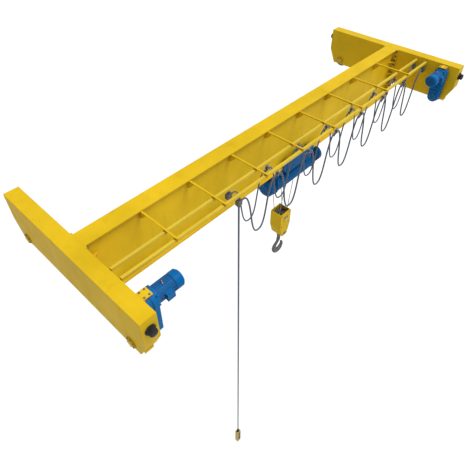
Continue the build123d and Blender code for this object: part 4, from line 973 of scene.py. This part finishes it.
def motor_trim(motor):
    """Mounting ears with bolts, a fan grille, a box lid, a gland and a lifting eye."""
    ears = Piece(f"{motor.name}_ears", motor.body, motor.slot)
    metal = Piece(f"{motor.name}_bolts", motor.body, "galvanised")
    # Black rings and bars on the fan cowl are painted shade of its openings; the gland is black
    dark = Piece(f"{motor.name}_fan_grille", motor.body, "rubber_black")
    motor_ears(motor, ears, metal)
    fan_grille(motor, dark)
    terminal_box_trim(motor, ears, metal, dark)
    lifting_eye(motor, metal)
    for piece in (ears, metal, dark):
        piece.build()


def all_motors():
    """The trim of both travel motors, the hoist's motor and the trolley's."""
    for side, word in ((-1, "left"), (1, "right")):
        motor_trim(Motor(name=f"{word}_travel_motor", body="bridge", slot="drive_blue",
                         start=side * GEARBOX_END, out=-side, y=-WHEEL_Y, z=MOTOR_Z,
                         radius=MOTOR_RADIUS, length=MOTOR_LENGTH, box_side=-1))
    motor_trim(Motor(name="hoist_motor", body="trolley", slot="hoist_blue",
                     start=DRUM_RIGHT + DRUM_PLATE_THICKNESS, out=1, y=0.0, z=DRUM_Z,
                     radius=HOIST_MOTOR_RADIUS, length=HOIST_MOTOR_LENGTH, box_side=1))
    motor_trim(Motor(name="trolley_motor", body="trolley", slot="hoist_blue",
                     start=TROLLEY_X + TROLLEY_MOTOR_RADIUS, out=1,
                     y=TROLLEY_SIDE + TROLLEY_MOTOR_RADIUS + TROLLEY_MOTOR_GAP,
                     z=TROLLEY_DRIVE_Z, radius=TROLLEY_MOTOR_RADIUS,
                     length=TROLLEY_MOTOR_LENGTH, box_side=1))


# Ropes

WOUND_GAP = 0.0005
WOUND_RADIUS = DRUM_DIAMETER / 2 + WOUND_GAP + ROPE_RADIUS
WOUND_PITCH = 0.0165
WOUND_REACH = 0.515
WOUND_STEPS = 22
STRAND_COUNT = 6
STRAND_STEPS = 12
ROPE_LAY = 0.09
STRAND_BAND_SCALE = 110.0


def drum_rope():
    """The rope wound on the drum from both ends to where the falls leave it."""
    piece = Piece("wound_rope", "trolley", "rope_steel")
    for side in SIDES:
        start = TROLLEY_X + side * WOUND_REACH
        end = BLOCK_X + side * FALL_REACH
        turns = abs(end - start) / WOUND_PITCH
        count = int(turns * WOUND_STEPS)
        places = []
        for n in range(count + 1):
            share = n / count
            out = spoke(WOUND_RADIUS, math.pi + 2 * math.pi * turns * (1 - share))
            places.append(Vector((start + (end - start) * share, out.x, DRUM_Z + out.y)))
        piece.add(tube(places, [ROPE_RADIUS] * (count + 1), count=8))
    piece.build(ROUND_CREASE)


def strands(start, end):
    """The strands of a rope, twisted round the line from start to end."""
    start = Vector(start)
    end = Vector(end)
    turns = (end - start).length / ROPE_LAY
    line_turn = upright(end - start)
    count = int(STRAND_STEPS * turns)
    forms = []
    for strand in range(STRAND_COUNT):
        places = []
        for n in range(count + 1):
            turn = 2 * math.pi * (strand / STRAND_COUNT + turns * n / count)
            places.append(start.lerp(end, n / count) + line_turn @ spoke(ROPE_RADIUS * 2 / 3, turn))
        forms.append(tube(places, [ROPE_RADIUS / 3] * (count + 1), count=6))
    return joined(*forms)


def rope_falls():
    """The four falls, which stretch between the trolley and the hook block."""
    piece = Piece("stranded_falls", None, "rope_steel",
                  wire_rope("greased_strands", STRAND_BAND_SCALE))
    drum_side = -(DRUM_DIAMETER / 2 + ROPE_RADIUS + ROPE_LEAD)
    for side in SIDES:
        x = BLOCK_X + side * FALL_REACH
        for top_y, sign in ((drum_side, -1), (ANCHOR_OFFSET, 1)):
            piece.add(strands((x, top_y, DRUM_Z), (x, sign * SHEAVE_SPACING / 2, SHEAVE_Z)))
    falls = piece.build(ROUND_CREASE)
    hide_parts("rope_falls")
    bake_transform(falls)


# Fasteners of the hoist and the hook block

CAP_BOLT = 0.007
CAP_BOLT_CIRCLE = 0.041
CAP_LEVEL = -0.175
CROSSBAR_BOLT = 0.016
HANGER_BOLT = 0.009
HANGER_BOLT_COUNT = 6
HANGER_BOLT_PITCH = 0.18
HANGER_BOLT_START = 0.45
HANGER_BOLT_LEVELS = (0.032, 0.118)
COVER_SCREW = 0.007
COVER_SCREW_COUNT = 7
COVER_SCREW_INSET = 0.06
COVER_SCREW_RUN = 0.97
COVER_SLOPE = math.radians(14)
DRIVE_BOLT = 0.007
DRIVE_BOLT_REACH = (0.042, 0.065)
HOUSING_BOLT = 0.007
HOUSING_RIM_DEPTH = 0.022
HOUSING_RIM_CIRCLE = 0.167
HOUSING_END_CIRCLE = 0.078


def trolley_side_bolts(piece, sign):
    """Bolts on one side's wheel caps and crossbars."""
    axis = (0, sign, 0)
    for end in SIDES:
        x = TROLLEY_X + end * TROLLEY_WHEEL_PITCH / 2
        for place in around((x, sign * (TROLLEY_SIDE + TROLLEY_CAP_STEP), CAP_LEVEL), axis,
                            CAP_BOLT_CIRCLE, 4, SQUARE_START):
            piece.add(bolt(CAP_BOLT), standing(place, axis))
        crossbar_end = TROLLEY_SIDE + TROLLEY_PLATE_THICKNESS
        piece.add(bolt(CROSSBAR_BOLT), standing((x, sign * crossbar_end, CROSSBAR_Z), axis))


def hanger_bolts(piece, sign):
    """Two rows of bolts along one hanger plate."""
    for n in range(HANGER_BOLT_COUNT):
        x = TROLLEY_X - HANGER_BOLT_START + n * HANGER_BOLT_PITCH
        for level in HANGER_BOLT_LEVELS:
            place = (x, sign * HANGER_FACE, HANGER_LOW + level)
            piece.add(bolt(HANGER_BOLT), standing(place, (0, sign, 0)))


def cover_screws(piece, sign):
    """A row of screws along one drum cover."""
    axis = Vector((0, sign * math.cos(COVER_SLOPE), -math.sin(COVER_SLOPE)))
    for n in range(COVER_SCREW_COUNT):
        x = DRUM_LEFT + COVER_SCREW_INSET + n * COVER_SCREW_RUN / (COVER_SCREW_COUNT - 1)
        piece.add(screw(COVER_SCREW), standing(Vector((x, 0, DRUM_Z)) + COVER_RADIUS * axis, axis))


def hoist_bolts():
    """Bolts on the trolley and its drive, the hangers, the drum covers and the gearbox."""
    piece = Piece("hoist_bolts", "trolley", "galvanised")
    for sign in SIDES:
        trolley_side_bolts(piece, sign)
        hanger_bolts(piece, sign)
        cover_screws(piece, sign)
    along, up = DRIVE_BOLT_REACH
    for a, b in CORNERS:
        place = (TROLLEY_X + a * along, TROLLEY_SIDE + TROLLEY_DRIVE_DEPTH, TROLLEY_DRIVE_Z + b * up)
        piece.add(bolt(DRIVE_BOLT), standing(place, (0, 1, 0)))
    plate_face = DRUM_LEFT - DRUM_PLATE_THICKNESS
    for depth, circle, count in ((HOUSING_RIM_DEPTH, HOUSING_RIM_CIRCLE, 14),
                                 (HOIST_GEARBOX_LENGTH, HOUSING_END_CIRCLE, 8)):
        for place in around((plate_face - depth, 0, DRUM_Z), (-1, 0, 0), circle, count):
            piece.add(bolt(HOUSING_BOLT), standing(place, (-1, 0, 0)))
    piece.build()


BLOCK_BOLT = 0.010
# How far the bolts are from the block's middle line, and their levels
BLOCK_BOLT_PLACES = [(0.122, SHEAVE_Z + 0.13), (0.122, SHEAVE_Z - 0.16),
                     (0.062, BLOCK_FOOT + 0.05)]
KEEPER_SIZE = (0.096, 0.008, 0.030, 0.002)
KEEPER_Z = SHEAVE_Z + 0.040
KEEPER_STANDOFF = 0.012
KEEPER_BOLT = 0.007
KEEPER_BOLT_REACH = 0.036
KEEPER_FACE = KEEPER_STANDOFF + KEEPER_SIZE[1] / 2


def block_bolts():
    """Keeper plates and bolts on the hook block's cheeks."""
    piece = Piece("block_bolts", "hook_block", "galvanised")
    for sign in SIDES:
        axis = (0, sign, 0)
        for reach, z in BLOCK_BOLT_PLACES:
            for side in SIDES:
                place = (BLOCK_X - side * reach, sign * BLOCK_FACE, z)
                piece.add(bolt(BLOCK_BOLT), standing(place, axis))
        keeper_place = (BLOCK_X, sign * (BLOCK_FACE + KEEPER_STANDOFF), KEEPER_Z)
        piece.add(bar(*KEEPER_SIZE), Matrix.Translation(keeper_place))
        for side in SIDES:
            place = (BLOCK_X + side * KEEPER_BOLT_REACH, sign * (BLOCK_FACE + KEEPER_FACE), KEEPER_Z)
            piece.add(bolt(KEEPER_BOLT), standing(place, axis))
    piece.build()


# Trim of the push-button station

COLLAR_OUTLINE = [(0.0175, 0), (0.024, 0), (0.024, 0.004), (0.020, 0.006), (0.0175, 0.006)]
STOP_COLLAR_OUTLINE = [(0.0125, 0), (0.031, 0), (0.031, 0.003), (0.027, 0.005), (0.0125, 0.005)]
COLLAR_SEGMENTS = 28
TRIM_SINK = 0.0001
ARROW_OUTLINE = [(-0.006, -0.004), (0.006, -0.004), (0, 0.008)]
ARROW_THICKNESS = 0.0008
# Where each button's arrow points, from the top button down
ARROW_TURNS = (0, math.pi, math.pi / 2, -math.pi / 2, 0, math.pi)
STATION_SCREW = 0.004
STATION_SCREW_REACH = 0.038
STATION_SCREW_INSETS = (0.026, 0.020)


def arrow():
    """A flat arrow head, lying on Z = 0."""
    points = [(x, y, z) for z in (0, ARROW_THICKNESS) for x, y in ARROW_OUTLINE]
    return points, [[2, 1, 0], [3, 4, 5], [0, 1, 4, 3], [1, 2, 5, 4], [2, 0, 3, 5]]


def pendant_trim():
    """Button collars, screws and generic arrow marks on the push-button station."""
    low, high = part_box("pendant_station")
    stop_low, stop_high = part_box("pendant_stop_button")
    x = (low.x + high.x) / 2
    front = low.y
    seat = front - TRIM_SINK
    stop_z = (stop_low.z + stop_high.z) / 2
    axis = (0, -1, 0)
    dark = Piece("pendant_collars", "bridge", "rubber_black")
    metal = Piece("pendant_screws", "bridge", "galvanised")
    marks = Piece("pendant_marks", "bridge", "pendant_yellow")
    dark.add(turned(STOP_COLLAR_OUTLINE, COLLAR_SEGMENTS), standing((x, seat, stop_z), axis))
    for n in range(BUTTON_COUNT):
        z = stop_z - (n + 1) * BUTTON_PITCH
        button_face = front - BUTTON_HEIGHT + TRIM_SINK
        dark.add(turned(COLLAR_OUTLINE, COLLAR_SEGMENTS), standing((x, seat, z), axis))
        marks.add(arrow(), standing((x, button_face, z), axis, ARROW_TURNS[n]))
    low_inset, high_inset = STATION_SCREW_INSETS
    for side in SIDES:
        for z in (low.z + low_inset, high.z - high_inset):
            place = (x + side * STATION_SCREW_REACH, seat, z)
            metal.add(screw(STATION_SCREW), standing(place, axis))
    for piece in (dark, metal, marks):
        piece.build()


# Floor, light and camera

FLOOR_LEVEL = -8.6
FLOOR_REACH = 90.0
FLOOR_SHADE = 0.6
FLOOR_GLOW = 0.54
WORLD_LIGHT = 0.42
# The sun: its strength, its spread in degrees and the way towards it
SUN_STRENGTH = 1.9
SUN_SPREAD = 24
SUN_PLACE = (0.25, -0.42, 1.0)

# The photograph's camera, fitted to its edges, in pixels, metres and degrees, with the
# sensor in millimetres
PHOTO_SIZE = 474
FOCAL_PIXELS = 445.54
SHIFT_PIXELS = 36
SENSOR_WIDTH = 36.0
CAMERA_PLACE = (-4.9477, -3.7175, 4.5086)
CAMERA_TILT = 47.9
CAMERA_HEADING = -46.972
VIEW_DISTANCE = 300.0

WHITE = colour(1.0, 1.0, 1.0)


def build_floor():
    """A wide pale floor far below the crane, as white to the camera as the backdrop."""
    mesh = bpy.data.meshes.new("floor")
    outline = [(-1, -1), (1, -1), (1, 1), (-1, 1)]
    mesh.from_pydata([(FLOOR_REACH * a, FLOOR_REACH * b, FLOOR_LEVEL) for a, b in outline], [],
                     [(0, 1, 2, 3)])
    floor = bpy.data.objects.new("floor", mesh)
    bpy.context.scene.collection.objects.link(floor)
    nodes = new_material("pale_floor")
    nodes.set(Base_Color=colour(FLOOR_SHADE, FLOOR_SHADE, FLOOR_SHADE), Roughness=0.9,
              Specular_IOR_Level=0.0, Emission_Color=WHITE,
              Emission_Strength=nodes.math("MULTIPLY", nodes.seen_directly(), FLOOR_GLOW))
    mesh.materials.append(nodes.owner)


def build_world():
    """A white backdrop that lights the object at a plain, even level."""
    nodes = Nodes(bpy.data.worlds.new("studio"), "Background")
    bpy.context.scene.world = nodes.owner
    strength = nodes.ramp(nodes.seen_directly(), low=0.0, high=1.0, start=WORLD_LIGHT)
    nodes.set(Color=WHITE, Strength=strength)


def build_sun():
    """One wide soft light from above and the near right."""
    light = bpy.data.lights.new("soft_key", "SUN")
    light.energy = SUN_STRENGTH
    light.angle = math.radians(SUN_SPREAD)
    key = bpy.data.objects.new("soft_key", light)
    bpy.context.scene.collection.objects.link(key)
    key.rotation_euler = upright(SUN_PLACE).to_euler()


def build_camera():
    """The photograph's view: from above the near left, looking to the far right."""
    data = bpy.data.cameras.new("photo_view")
    data.lens = FOCAL_PIXELS / PHOTO_SIZE * SENSOR_WIDTH
    data.shift_y = -SHIFT_PIXELS / PHOTO_SIZE
    data.clip_end = VIEW_DISTANCE
    camera = bpy.data.objects.new("photo_view", data)
    bpy.context.scene.collection.objects.link(camera)
    camera.location = CAMERA_PLACE
    camera.rotation_euler = (math.radians(CAMERA_TILT), 0, math.radians(CAMERA_HEADING))
    bpy.context.scene.camera = camera


dress_solids()
looped_cables()
pendant_cable()
carriage_bolts()
gearbox_bolts()
all_motors()
girder_welds()
arm_trim()
carrier_bolts()
drum_rope()
rope_falls()
hoist_bolts()
block_bolts()
pendant_trim()
box_screws()
build_floor()
build_world()
build_sun()
build_camera()
bpy.context.scene.view_settings.view_transform = "Standard"
